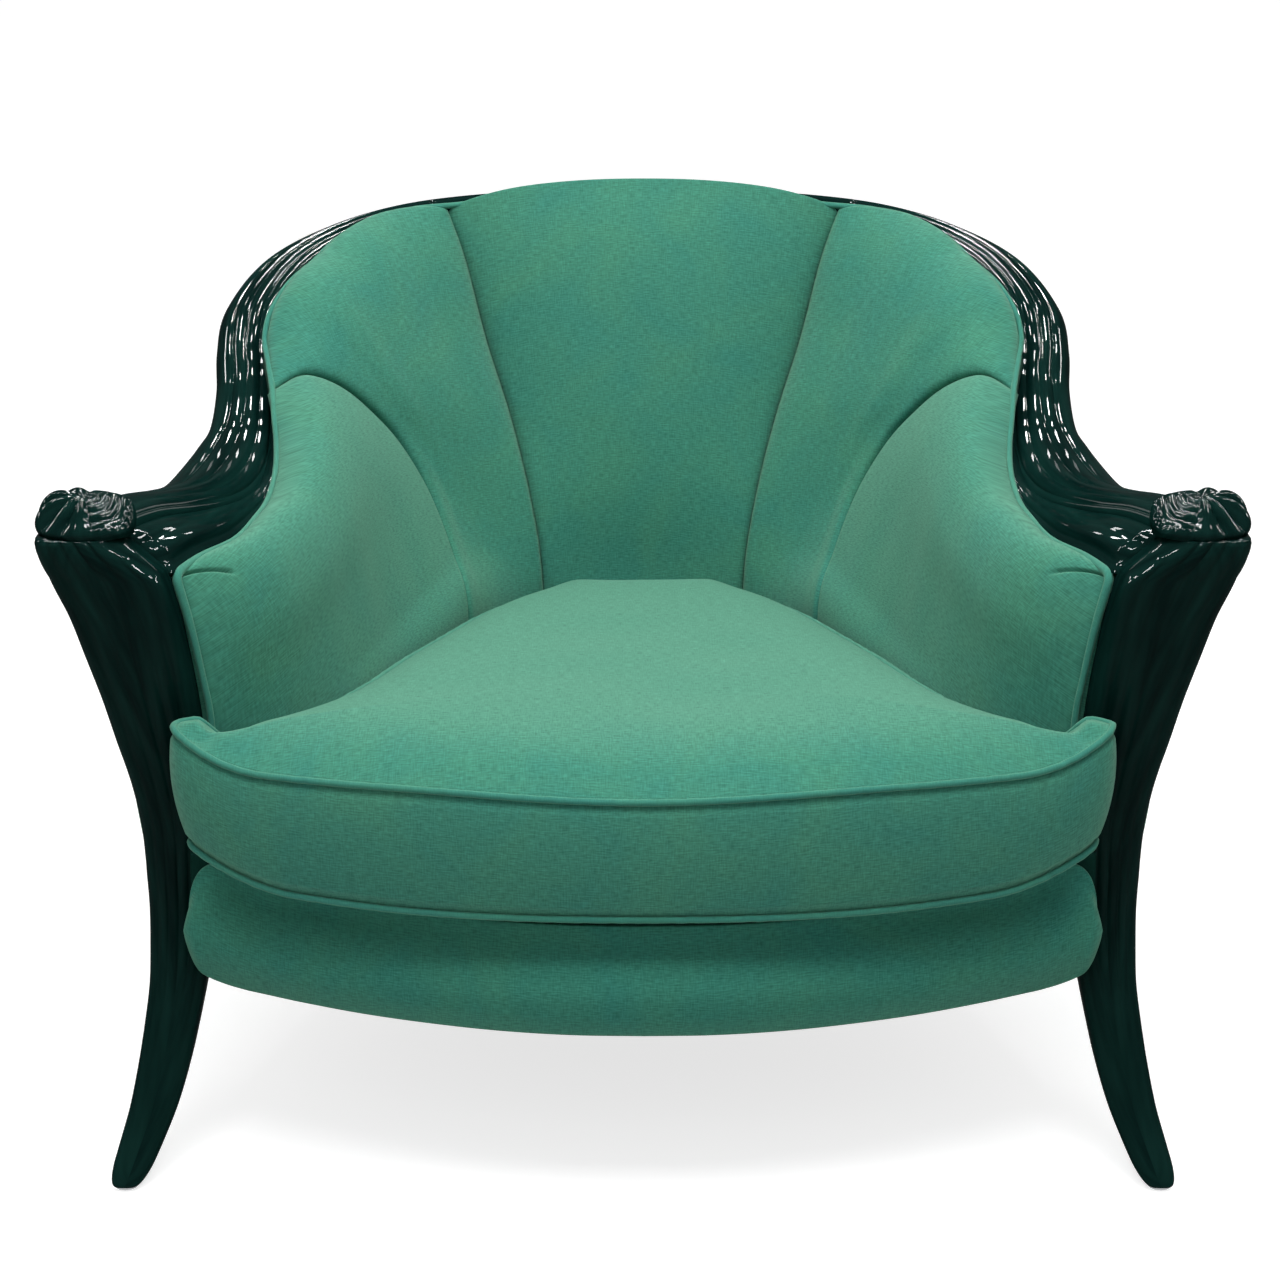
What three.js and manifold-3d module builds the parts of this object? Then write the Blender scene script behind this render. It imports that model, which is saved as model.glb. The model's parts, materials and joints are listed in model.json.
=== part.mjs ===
// Scallop back lounge chair: a tub frame of reeded, lacquered show wood round a channelled
// inside back, with a bowed apron and a loose T cushion. Millimetres, +Z up, -Y is the front.
// The right half (+X) is modelled and the left half is its mirror image.

import * as THREE from 'three';
import { mergeVertices } from 'three/addons/utils/BufferGeometryUtils.js';
import Module from 'manifold-3d';

const wasm = await Module();
wasm.setup();

// Driving sizes
// Whole chair
const HALF_WIDTH = 544;          // middle of the chair to the outside of the post top
const SCROLL_Y = -305;           // middle of the terminal, from the middle of the seat
const CREST_Y = 400;             // centre line of the crest rail
const SCROLL_Z = 600;            // centre line of the arm rail at the terminal
const CREST_Z = 786;             // centre line of the crest rail
const CLEAR = 0.3;               // gap between pieces that seat on each other
const OVERRUN = 2;               // how far a cut runs past the piece it cuts

// Arm rail and crest rail
const RAIL_WIDTH = 72;
const RAIL_THICK = 44;
const REED_DEPTH = 3.4;
const REED_COUNT = 6;

// Carved terminal
const SHELL_HALF_WIDTH = 46;
const SHELL_HALF_DEPTH = 42;
const SHELL_TOP = 36;            // above the rail's centre line
const SHELL_DROP = 2;            // below the rail's centre line
const GADROON_COUNT = 5;

// Front post and sabre leg
const POST_TOP_WIDTH = 120;
const POST_TOP_THICK = 70;
const LEG_WIDTH = 58;
const LEG_THICK = 55;
const FOOT_WIDTH = 34;
const FOOT_THICK = 44;
const POST_FRONT_Y = -343;       // face of the post under the terminal
const LEG_FRONT_Y = -291;        // face of the leg where it is furthest back
const FOOT_FRONT_Y = -430;
const POST_REED_DEPTH = 2.6;
const POST_REED_COUNT = 7;

// Rear leg and back upright
const REAR_LEG_SIZE = 42;
const REAR_FOOT_SIZE = 32;
const REAR_FOOT_X_SHARE = 0.537;  // of half the width, from the middle of the chair
const REAR_LEG_X_SHARE = 0.471;
const REAR_TOP_X_SHARE = 0.559;
const REAR_FOOT_X = HALF_WIDTH * REAR_FOOT_X_SHARE;
const REAR_LEG_X = HALF_WIDTH * REAR_LEG_X_SHARE;
const REAR_TOP_X = HALF_WIDTH * REAR_TOP_X_SHARE;
const REAR_FOOT_Y = 438;
const REAR_LEG_Y = 336;
const REAR_TOP_Y = 294;

// Seat frame
const SEAT_RAIL_BOTTOM = 184;
const SEAT_RAIL_HEIGHT = 64;
const SEAT_RAIL_THICK = 28;
const STRETCHER_RISE = 52;
const STRETCHER_HEIGHT = 38;
const STRETCHER_THICK = 22;
const UPRIGHT_WIDTH = 60;
const UPRIGHT_THICK = 22;
const BLOCK_LEG_SHARE = 0.199;   // of half the width, along the rails from the leg's middle
const BLOCK_LEG = HALF_WIDTH * BLOCK_LEG_SHARE;
const BLOCK_HEIGHT = 40;
const SCREW_RADIUS = 2.4;
const SCREW_HEAD_RADIUS = 4.6;
const SCREW_HEAD_THICK = 3;
const SCREW_LENGTH = 62;
const DOWEL_RADIUS = 5;
const DOWEL_LENGTH = 44;

// Seat support
const WEB_WIDTH = 50;
const WEB_THICK = 2;
const WEB_LONG_COUNT = 4;
const WEB_CROSS_COUNT = 4;
const WEB_LONG_PITCH_SHARE = 0.213;
const WEB_LONG_PITCH = HALF_WIDTH * WEB_LONG_PITCH_SHARE;
const WEB_CROSS_PITCH = 120;
const WEB_CROSS_Y = -20;          // middle of the cross straps
const DECK_THICK = 32;
const DUST_COVER_THICK = 1.5;
const SEAT_RAIL_TOP = SEAT_RAIL_BOTTOM + SEAT_RAIL_HEIGHT;
const STRETCHER_BOTTOM = SEAT_RAIL_TOP + STRETCHER_RISE;
const WEB_Z = SEAT_RAIL_TOP + CLEAR;
const DECK_BOTTOM_Z = WEB_Z + 2 * (WEB_THICK + CLEAR);
const DECK_TOP_Z = DECK_BOTTOM_Z + DECK_THICK;

// Inside upholstery
const TUCK_Z = DECK_TOP_Z + CLEAR;   // lower edge of the inside arms and back
const COVER_RISE = 22;           // upper edge of the centre channel, above the crest rail's line
const COVER_CREST_Z = CREST_Z + COVER_RISE;
const PAD_BASE_BOTTOM = 58;      // stuffing behind the seams, low down
const PAD_BASE_RAIL = 26;        // the same under the arm rail
const PAD_BASE_CREST = 30;       // and behind the crest
const PAD_TUCK = 24;             // how far the cover's back drops under the rail
const ARM_CROWN = 34;
const SIDE_CROWN = 44;
const CENTRE_CROWN = 40;
const SEAM_GAP = 0.8;
const WELT_RADIUS = 4.5;

// Cushion
const CUSHION_BOTTOM_Z = DECK_TOP_Z + CLEAR;
const CUSHION_EDGE_HEIGHT = 103; // between the two welts, in the middle of the front
const CUSHION_CROWN = 41;
const CUSHION_WELT_RADIUS = 5;
const CUSHION_BULGE = 9;
const CUSHION_EAR_RISE = 32;     // how much higher the front corners stand
const CUSHION_SIDE_RISE = 7;     // how much higher the top edge runs at the sides
const CUSHION_DROOP = 8;         // how far the front edge hangs below the deck

// Apron and outside covers
const APRON_BOTTOM_Z = 161;
const APRON_HEIGHT = 113;
const APRON_THICK = 20;
const APRON_END_THICK = 10;
const APRON_CROWN = 7;
const APRON_CORNER = 34;
const COVER_THICK = 8;
const COVER_CROWN = 6;

// Glides
const GLIDE_RADIUS = 11;
const GLIDE_THICK = 3;
const NAIL_RADIUS = 2;
const NAIL_LENGTH = 16;

// Colours
const LACQUER = { color: 0x0d2b28, roughness: 0.12, metalness: 0.0 };
const FABRIC = { color: 0x4d937c, roughness: 0.92, metalness: 0.0 };
const FABRIC_DEEP = { color: 0x3d8470, roughness: 0.92, metalness: 0.0 };
const WELTING = { color: 0x4a8f78, roughness: 0.9, metalness: 0.0 };
const BEECH = { color: 0xb58b5c, roughness: 0.7, metalness: 0.0 };
const BIRCH = { color: 0xcaa878, roughness: 0.65, metalness: 0.0 };
const STEEL = { color: 0x9a9c9e, roughness: 0.35, metalness: 0.9 };
const NICKEL = { color: 0xb9bbbc, roughness: 0.25, metalness: 1.0 };
const JUTE = { color: 0x8f7a55, roughness: 0.95, metalness: 0.0 };
const DECK_CLOTH = { color: 0x2f6555, roughness: 0.95, metalness: 0.0 };
const CAMBRIC = { color: 0x17181a, roughness: 0.95, metalness: 0.0 };

// Small helpers
const V = (x, y, z) => new THREE.Vector3(x, y, z);
const mix = (a, b, s) => a + (b - a) * s;
const clamp01 = (s) => Math.min(1, Math.max(0, s));
const smooth = (s) => clamp01(s) ** 2 * (3 - 2 * clamp01(s));

// A smooth curve through rows of numbers, read at a share s of its length in rows.
function rowCurve(rows) {
  return (s) => {
    const n = rows.length - 1;
    const k = Math.min(n - 1, Math.floor(clamp01(s) * n));
    const f = clamp01(s) * n - k;
    const at = (i, j) => {
      if (i < 0) return 2 * rows[0][j] - rows[1][j];
      if (i > n) return 2 * rows[n][j] - rows[n - 1][j];
      return rows[i][j];
    };
    return rows[0].map((_, j) => {
      const [p, q, r, t] = [at(k - 1, j), at(k, j), at(k + 1, j), at(k + 2, j)];
      const a = -p + 3 * q - 3 * r + t;
      const b = 2 * p - 5 * q + 4 * r - t;
      return (a * f ** 3 + b * f ** 2 + (r - p) * f + 2 * q) / 2;
    });
  };
}

// The same, read at a value of the first column, which rises from row to row.
function tableCurve(rows) {
  const curve = rowCurve(rows);
  const n = rows.length - 1;
  return (value) => {
    let k = 0;
    while (k < n - 1 && value > rows[k + 1][0]) k += 1;
    const f = clamp01((value - rows[k][0]) / (rows[k + 1][0] - rows[k][0]));
    return curve((k + f) / n).slice(1);
  };
}

// A closed solid through rings of points that all run the same way round.
function loft(rings, closed = false) {
  const position = [];
  rings.forEach((ring) => ring.forEach((p) => position.push(p.x, p.y, p.z)));
  const index = [];
  const m = rings[0].length;
  const last = closed ? rings.length : rings.length - 1;
  for (let i = 0; i < last; i += 1) {
    const next = (i + 1) % rings.length;
    for (let j = 0; j < m; j += 1) {
      const k = (j + 1) % m;
      const [a, b, c, d] = [i * m + j, i * m + k, next * m + k, next * m + j];
      index.push(a, b, c, a, c, d);
    }
  }
  if (!closed) {
    [0, rings.length - 1].forEach((i) => {
      const flat = capTriangles(rings[i]);
      flat.forEach(([a, b, c]) => {
        if (i === 0) index.push(a, c, b);
        else index.push(i * m + a, i * m + b, i * m + c);
      });
    });
  }
  const geometry = new THREE.BufferGeometry();
  geometry.setAttribute('position', new THREE.Float32BufferAttribute(position, 3));
  geometry.setIndex(index);
  return outward(geometry);
}

// Triangles over a ring that lies nearly in one plane.
function capTriangles(ring) {
  const centre = ring.reduce((s, p) => s.add(p), V(0, 0, 0)).divideScalar(ring.length);
  const normal = V(0, 0, 0);
  ring.forEach((p, i) => {
    const q = ring[(i + 1) % ring.length];
    normal.add(p.clone().sub(centre).cross(q.clone().sub(centre)));
  });
  normal.normalize();
  const ax = ring[0].clone().sub(centre);
  ax.addScaledVector(normal, -ax.dot(normal)).normalize();
  const ay = normal.clone().cross(ax);
  const flat = ring.map((p) => {
    const d = p.clone().sub(centre);
    return new THREE.Vector2(d.dot(ax), d.dot(ay));
  });
  return THREE.ShapeUtils.triangulateShape(flat, []);
}

// Turns all faces out when the enclosed volume comes out negative.
function outward(geometry) {
  const p = geometry.attributes.position;
  const ix = geometry.index.array;
  let volume = 0;
  for (let i = 0; i < ix.length; i += 3) {
    const [a, b, c] = [0, 1, 2].map((k) => V().fromBufferAttribute(p, ix[i + k]));
    volume += a.dot(b.cross(c));
  }
  if (volume < 0) {
    for (let i = 0; i < ix.length; i += 3) [ix[i], ix[i + 1]] = [ix[i + 1], ix[i]];
  }
  return geometry;
}

function mirrored(geometry) {
  const copy = geometry.clone();
  copy.scale(-1, 1, 1);
  const ix = copy.index.array;
  for (let i = 0; i < ix.length; i += 3) [ix[i], ix[i + 1]] = [ix[i + 1], ix[i]];
  return copy;
}

function welded(geometry) {
  const copy = geometry.clone();
  copy.deleteAttribute('normal');
  copy.deleteAttribute('uv');
  return mergeVertices(copy, CLEAR * 1e-4);
}

function solid(geometry) {
  const g = welded(geometry);
  return new wasm.Manifold(new wasm.Mesh({
    numProp: 3,
    vertProperties: new Float32Array(g.attributes.position.array),
    triVerts: new Uint32Array(g.index.array),
  }));
}

function geometryOf(body) {
  const mesh = body.getMesh();
  const geometry = new THREE.BufferGeometry();
  geometry.setAttribute('position', new THREE.Float32BufferAttribute(mesh.vertProperties, 3));
  geometry.setIndex(Array.from(mesh.triVerts));
  return geometry;
}

const cut = (geometry, cutters) => geometryOf(
  cutters.reduce((body, cutter) => body.subtract(solid(cutter)), solid(geometry)),
);
const join = (...pieces) => geometryOf(pieces.map(solid).reduce((a, b) => a.add(b)));

// A board between two heights with the given plan outline.
function slab(points, bottom, height) {
  const shape = new THREE.Shape(points.map(([x, y]) => new THREE.Vector2(x, y)));
  const g = new THREE.ExtrudeGeometry(shape, { depth: height, bevelEnabled: false });
  g.translate(0, 0, bottom);
  return outward(welded(g));
}

// A straight board of rectangular section between two plan points.
function board(from, to, thick, bottom, height) {
  const along = new THREE.Vector2(to[0] - from[0], to[1] - from[1]).normalize();
  const side = new THREE.Vector2(-along.y, along.x).multiplyScalar(thick / 2);
  return slab([
    [from[0] - side.x, from[1] - side.y],
    [to[0] - side.x, to[1] - side.y],
    [to[0] + side.x, to[1] + side.y],
    [from[0] + side.x, from[1] + side.y],
  ], bottom, height);
}

function cylinderZ(radius, bottom, height, sides) {
  const g = new THREE.CylinderGeometry(radius, radius, height, sides);
  g.rotateX(Math.PI / 2);
  g.translate(0, 0, bottom + height / 2);
  return welded(g);
}

function pin(from, to, radius, sides) {
  const g = new THREE.CylinderGeometry(radius, radius, from.distanceTo(to), sides);
  const turn = new THREE.Quaternion().setFromUnitVectors(V(0, 1, 0), to.clone().sub(from).normalize());
  g.applyQuaternion(turn);
  const middle = from.clone().add(to).multiplyScalar(0.5);
  g.translate(middle.x, middle.y, middle.z);
  return welded(g);
}

// A tube of the given radius along points, closed on itself or capped.
function tube(points, radius, sides, closed) {
  const n = points.length;
  const rings = points.map((p, i) => {
    const before = points[closed ? (i + n - 1) % n : Math.max(0, i - 1)];
    const after = points[closed ? (i + 1) % n : Math.min(n - 1, i + 1)];
    const along = after.clone().sub(before).normalize();
    const up = V(0, 0, 1).addScaledVector(along, -along.z).normalize();
    const out = along.clone().cross(up);
    return Array.from({ length: sides }, (_, k) => {
      const a = (k / sides) * 2 * Math.PI;
      return p.clone().addScaledVector(out, radius * Math.cos(a)).addScaledVector(up, radius * Math.sin(a));
    });
  });
  return loft(rings, closed);
}

// The rail's line
// Shares of half the width, of the way from terminal to crest, and of the rise to the crest.
const RAIL_LINE_SHARES = [
  [0.930, 0.000, 0.000], [0.886, 0.113, -0.040], [0.848, 0.199, -0.097], [0.814, 0.278, -0.140],
  [0.791, 0.349, -0.154], [0.774, 0.426, -0.128], [0.763, 0.496, -0.066], [0.758, 0.553, 0.014],
  [0.763, 0.631, 0.174], [0.771, 0.695, 0.346], [0.759, 0.755, 0.530], [0.701, 0.823, 0.727],
  [0.606, 0.882, 0.857], [0.486, 0.933, 0.939], [0.346, 0.970, 0.977], [0.183, 0.991, 0.993],
  [0.000, 1.000, 1.000],
];
// Shares of the rail's width along the same rows.
const RAIL_WIDTH_SHARES = [
  [0.95], [0.95], [1.07], [1.20], [1.33], [1.34], [1.18], [0.98],
  [0.88], [0.88], [0.96], [1.03], [0.98], [0.86], [0.79], [0.75], [0.75],
];
const railRow = rowCurve(RAIL_LINE_SHARES);
const railWidthShare = rowCurve(RAIL_WIDTH_SHARES);

function railPoint(t) {
  const [x, y, z] = railRow(t > 1 ? 2 - t : t);
  return V((t > 1 ? -1 : 1) * HALF_WIDTH * x, mix(SCROLL_Y, CREST_Y, y), mix(SCROLL_Z, CREST_Z, z));
}

function railFrame(t) {
  const step = 1 / (16 * RAIL_LINE_SHARES.length);
  const at = railPoint(t);
  const along = railPoint(t + step).sub(railPoint(Math.max(0, t - step))).normalize();
  const up = V(0, 0, 1).addScaledVector(along, -along.z).normalize();
  const out = along.clone().cross(up);
  return { at, along, up, out, width: RAIL_WIDTH * railWidthShare(t)[0] };
}

const railOffset = (t, out, up) => {
  const f = railFrame(t);
  return f.at.clone().addScaledVector(f.out, out * f.width).addScaledVector(f.up, up * RAIL_THICK);
};

// Section of the rail: reeds over the top and the inner side, a plain flat under it.
// Angles run from the outer shoulder over the top to the lower inner edge.
const SECTION_START_SHARE = -0.05;
const SECTION_END_SHARE = 1.14;
const REED_STEPS = 3;
const CUTTER_STEPS = 10;         // round a plain, grown section that clears a neighbour
const UNDER_SHARES = [[-0.36, -0.52], [0.10, -0.54], [0.40, -0.40]];

function railSection(frame, grow, reeded) {
  const points = [];
  const steps = reeded ? REED_COUNT * REED_STEPS : CUTTER_STEPS;
  const halfStep = Math.PI * (SECTION_END_SHARE - SECTION_START_SHARE) / steps / 2;
  const round = reeded ? 1 : 1 / Math.cos(halfStep);
  for (let i = 0; i <= steps; i += 1) {
    const q = i / steps;
    const angle = Math.PI * mix(SECTION_START_SHARE, SECTION_END_SHARE, q);
    const valley = 1 - Math.abs(Math.sin(Math.PI * REED_COUNT * q));
    const depth = reeded ? REED_DEPTH * valley : 0;
    const a = round * (frame.width / 2 - depth + grow);
    const b = round * (RAIL_THICK / 2 - depth + grow);
    const lower = Math.sin(angle) < 0 ? 2 : 1;
    points.push([a * Math.cos(angle), b * lower * Math.sin(angle)]);
  }
  UNDER_SHARES.forEach(([o, u]) => {
    points.push([o * frame.width, u * RAIL_THICK - grow]);
  });
  return points.map(([o, u]) => {
    const p = frame.at.clone();
    return p.addScaledVector(frame.out, o).addScaledVector(frame.up, u);
  });
}

function railBody(from, to, count, grow, reeded) {
  const rings = [];
  for (let i = 0; i <= count; i += 1) {
    rings.push(railSection(railFrame(mix(from, to, i / count)), grow, reeded));
  }
  return loft(rings);
}

// Carved terminal
// A domed oval: gadroons run out from its eye over the outer and front edge, and ridges
// nest round the eye on the inner side.
const SHELL_PROFILE_SHARES = [
  [0.16, 0.95], [0.34, 1.00], [0.52, 0.99], [0.70, 0.96], [0.88, 0.86], [0.97, 0.66],
  [1.00, 0.42], [0.98, 0.18], [0.93, -0.40],
];
const SHELL_STEPS = 36;
const SHELL_EYE_SHARE = 0.12;
const GADROON_DEPTH = 4.2;
const RIDGE_DEPTH = 2.6;
const RIDGE_COUNT = 3;

function terminal(grow, carved) {
  const centre = railPoint(0);
  const steps = carved ? SHELL_STEPS : 2 * CUTTER_STEPS;
  const round = carved ? 1 : 1 / Math.cos(Math.PI / steps);
  const rings = SHELL_PROFILE_SHARES.map(([r, h]) => {
    const ring = [];
    for (let i = 0; i < steps; i += 1) {
      const a = (i / steps) * 2 * Math.PI;
      // 1 on the outer and front side of the oval, 0 on the side that meets the rail
      const outer = smooth(0.5 + 0.9 * Math.cos(a + Math.PI * SHELL_EYE_SHARE));
      const groove = 1 - Math.abs(Math.cos(a * GADROON_COUNT));
      const ridge = 0.5 - 0.5 * Math.cos(2 * Math.PI * RIDGE_COUNT * r);
      const dig = carved ? GADROON_DEPTH * groove * outer * smooth(r * 1.6) : 0;
      const dip = carved ? RIDGE_DEPTH * ridge * (1 - outer) * smooth((1 - r) * 4) : 0;
      const height = h > 0 ? h * SHELL_TOP + grow : h * SHELL_DROP / 0.4 - grow;
      ring.push(V(
        centre.x + round * (r * SHELL_HALF_WIDTH - dig * 0.7 + grow) * Math.cos(a),
        centre.y - round * (r * SHELL_HALF_DEPTH - dig * 0.7 + grow) * Math.sin(a),
        centre.z + height - (dip + dig) * clamp01(2 * h),
      ));
    }
    return ring;
  });
  return loft(rings);
}

// Front post and leg
// Rows: height share of the post, outer side as a share of half the width, share of the way
// from the leg's sizes to the post top's (below the leg row: to the foot's, negative).
const POST_SIDE_SHARES = [
  [0.000, 0.918], [0.045, 0.904], [0.092, 0.890], [0.145, 0.880], [0.195, 0.873], [0.250, 0.867],
  [0.312, 0.864], [0.377, 0.861], [0.445, 0.862], [0.517, 0.866], [0.590, 0.878], [0.660, 0.897],
  [0.732, 0.915], [0.802, 0.936], [0.872, 0.957], [0.938, 0.983], [0.975, 0.997], [1.000, 0.998],
];
const POST_FACE_SHARES = [
  [0.000, -1.00], [0.045, -0.81], [0.092, -0.62], [0.145, -0.445], [0.195, -0.29], [0.250, -0.15],
  [0.312, -0.065], [0.377, -0.015], [0.445, 0.00], [0.517, 0.08], [0.590, 0.21], [0.660, 0.33],
  [0.732, 0.48], [0.802, 0.63], [0.872, 0.79], [0.938, 0.91], [0.975, 0.98], [1.000, 0.96],
];
const POST_SIZE_SHARES = [
  [0.000, -1.00], [0.045, -0.74], [0.092, -0.54], [0.145, -0.39], [0.195, -0.28], [0.250, -0.16],
  [0.312, -0.01], [0.377, 0.04], [0.445, 0.11], [0.517, 0.19], [0.590, 0.29], [0.660, 0.43],
  [0.732, 0.60], [0.802, 0.71], [0.872, 0.82], [0.938, 0.93], [0.975, 0.97], [1.000, 0.97],
];
const POST_REED_FADE_SHARES = [[0.16, 0.34]];
const postSide = tableCurve(POST_SIDE_SHARES);
const postFace = tableCurve(POST_FACE_SHARES);
const postSize = tableCurve(POST_SIZE_SHARES);
const POST_TOP_Z = SCROLL_Z - SHELL_DROP - CLEAR;
const between = (low, middle, high, s) => (s < 0 ? mix(middle, low, -s) : mix(middle, high, s));

function postRow(share) {
  const outer = HALF_WIDTH * postSide(share)[0];
  const size = postSize(share)[0];
  const face = between(FOOT_FRONT_Y, LEG_FRONT_Y, POST_FRONT_Y, postFace(share)[0]);
  return {
    z: POST_TOP_Z * share,
    outer,
    inner: outer - between(FOOT_WIDTH, LEG_WIDTH, POST_TOP_WIDTH, size),
    front: face,
    back: face + between(FOOT_THICK, LEG_THICK, POST_TOP_THICK, size),
  };
}

// Plan section: reeds across the front, softened corners, plain sides and back, and a
// rebate behind the inner edge for the front of the arm's pad.
const POST_BACK_SHARES = [
  [0.00, 0.80], [0.10, 1.00], [0.74, 1.00], [0.83, 0.60], [1.00, 0.50], [1.00, 0.16],
];
const POST_BOW_SHARE = 0.10;

function postSection(share, grow, reeded) {
  const row = postRow(share);
  const points = [];
  const steps = reeded ? POST_REED_COUNT * REED_STEPS : CUTTER_STEPS;
  const [from, to] = POST_REED_FADE_SHARES[0];
  const depth = reeded ? POST_REED_DEPTH * smooth((share - from) / (to - from)) : 0;
  const wide = row.outer - row.inner;
  const deep = row.back - row.front;
  for (let i = 0; i <= steps; i += 1) {
    const q = i / steps;
    const edge = 4 * (q - 0.5) ** 2;
    const valley = 1 - Math.abs(Math.sin(Math.PI * POST_REED_COUNT * q));
    points.push([
      mix(row.outer + grow, row.inner - grow, mix(0.03, 0.97, q)),
      row.front - grow + POST_BOW_SHARE * deep * edge + depth * valley,
    ]);
  }
  POST_BACK_SHARES.slice().reverse().forEach(([across, back]) => {
    const x = mix(row.outer + grow, row.inner - grow, across);
    points.push([x, mix(row.front - grow, row.back + grow, back)]);
  });
  return points.map(([x, y]) => V(x, y, row.z));
}

function postBody(grow, reeded) {
  const rings = POST_SIDE_SHARES.map(([share]) => postSection(share, grow, reeded));
  if (grow) {
    rings[0].forEach((p) => p.setZ(p.z - OVERRUN));
    rings[rings.length - 1].forEach((p) => p.setZ(p.z + OVERRUN));
  }
  return loft(rings);
}

// Rear leg
// Rows: height as a share of the leg's own length, then the way from seat to foot (negative)
// or from seat to crest (positive).
const REAR_LEG_SHARES = [
  [0.000, -1.00, -1.00], [0.040, -0.72, -0.76], [0.085, -0.44, -0.50], [0.135, -0.20, -0.26],
  [0.185, -0.05, -0.08], [0.228, 0.00, 0.00], [0.330, 0.02, 0.00], [0.500, 0.22, 0.26],
  [0.750, 0.62, 0.64], [1.000, 1.00, 1.00],
];
const REAR_SECTION_SHARES = [
  [-0.5, -0.34], [-0.34, -0.5], [0.34, -0.5], [0.5, -0.34],
  [0.5, 0.34], [0.34, 0.5], [-0.34, 0.5], [-0.5, 0.34],
];
const REAR_TOP_SHARE = 0.806;    // where the upright meets the rail, along the rail's line

function rearLegBody(grow) {
  const top = railPoint(REAR_TOP_SHARE).z;
  const rings = REAR_LEG_SHARES.map(([share, way, size]) => {
    const x = between(REAR_FOOT_X, REAR_LEG_X, REAR_TOP_X, way);
    const y = between(REAR_FOOT_Y, REAR_LEG_Y, REAR_TOP_Y, way);
    const s = size < 0 ? mix(REAR_LEG_SIZE, REAR_FOOT_SIZE, -size) : REAR_LEG_SIZE;
    return REAR_SECTION_SHARES.map(([a, b]) => V(
      x + a * (s + 2 * grow),
      y + b * (s + 2 * grow),
      share * top,
    ));
  });
  if (grow) rings[0].forEach((p) => p.setZ(p.z - OVERRUN));
  return loft(rings);
}

// Inside upholstery
// Upper edge of the inside cover along the rail: shares of half the width, of the way from
// terminal to crest, and of the rise from terminal to the top of the cover.
const EDGE_ARM_SHARES = [
  [0.790, 0.024, -0.212], [0.759, 0.085, -0.188], [0.715, 0.170, -0.188], [0.693, 0.248, -0.163],
  [0.678, 0.319, -0.130], [0.673, 0.390, -0.043], [0.680, 0.454, 0.053], [0.688, 0.489, 0.125],
  [0.699, 0.545, 0.236],
];
const EDGE_SIDE_SHARES = [
  [0.699, 0.545, 0.236], [0.715, 0.603, 0.346], [0.726, 0.638, 0.423], [0.722, 0.667, 0.514],
  [0.708, 0.695, 0.591], [0.684, 0.730, 0.668], [0.643, 0.773, 0.745], [0.605, 0.809, 0.832],
  [0.540, 0.858, 0.909], [0.460, 0.891, 0.947], [0.390, 0.906, 0.957],
];
const EDGE_CENTRE_SHARES = [
  [0.390, 0.906, 0.957], [0.270, 0.918, 0.981], [0.134, 0.922, 0.995], [0.000, 0.923, 1.000],
];
// Foot of the inside cover, on the deck: shares of half the width and of the same way.
const FOOT_ARM_SHARES = [
  [0.735, 0.027], [0.634, 0.095], [0.564, 0.174], [0.509, 0.262], [0.460, 0.369], [0.401, 0.472],
  [0.346, 0.574],
];
const FOOT_SIDE_SHARES = [
  [0.346, 0.574], [0.301, 0.640], [0.250, 0.699], [0.195, 0.748],
];
const FOOT_CENTRE_SHARES = [
  [0.195, 0.748], [0.131, 0.753], [0.064, 0.756], [0.000, 0.756],
];
// Seams between foot and edge: shares of half the width, of the way, and of the height from
// the deck to the top of the cover.
const SEAM_ARM_SHARES = [
  [0.336, 0.583, 0.237], [0.368, 0.624, 0.340], [0.415, 0.652, 0.457], [0.472, 0.652, 0.560],
  [0.526, 0.631, 0.633], [0.570, 0.610, 0.681], [0.614, 0.589, 0.711], [0.651, 0.572, 0.719],
];
const SEAM_CENTRE_SHARES = [
  [0.199, 0.753, 0.239], [0.221, 0.773, 0.394], [0.261, 0.816, 0.552], [0.312, 0.858, 0.711],
  [0.353, 0.889, 0.872],
];
const SEAM_FRONT_SHARES = [
  [0.739, 0.024, 0.239], [0.750, 0.023, 0.325], [0.767, 0.021, 0.426],
];

const onWay = (y) => mix(SCROLL_Y, CREST_Y, y);
const edgeRows = (rows) => rows.map(([x, y, z]) => [
  HALF_WIDTH * x,
  onWay(y),
  mix(SCROLL_Z, COVER_CREST_Z, z),
]);
const footRows = (rows) => rows.map(([x, y]) => [HALF_WIDTH * x, onWay(y), TUCK_Z]);
const seamRows = (foot, rows, edge) => [
  foot,
  ...rows.map(([x, y, z]) => [HALF_WIDTH * x, onWay(y), mix(TUCK_Z, COVER_CREST_Z, z)]),
  edge,
];
const pointCurve = (rows) => {
  const curve = rowCurve(rows);
  return (s) => V(...curve(s));
};

const edge = {
  arm: edgeRows(EDGE_ARM_SHARES),
  side: edgeRows(EDGE_SIDE_SHARES),
  centre: edgeRows(EDGE_CENTRE_SHARES),
};
const foot = {
  arm: footRows(FOOT_ARM_SHARES),
  side: footRows(FOOT_SIDE_SHARES),
  centre: footRows(FOOT_CENTRE_SHARES),
};
const seamFront = pointCurve(seamRows(foot.arm[0], SEAM_FRONT_SHARES, edge.arm[0]));
const seamArm = pointCurve(seamRows(foot.side[0], SEAM_ARM_SHARES, edge.side[0]));
const seamCentre = pointCurve(seamRows(foot.centre[0], SEAM_CENTRE_SHARES, edge.centre[0]));
const mirrorPoint = (p) => V(-p.x, p.y, p.z);
const seamCentreLeft = (s) => mirrorPoint(seamCentre(s));

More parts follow.
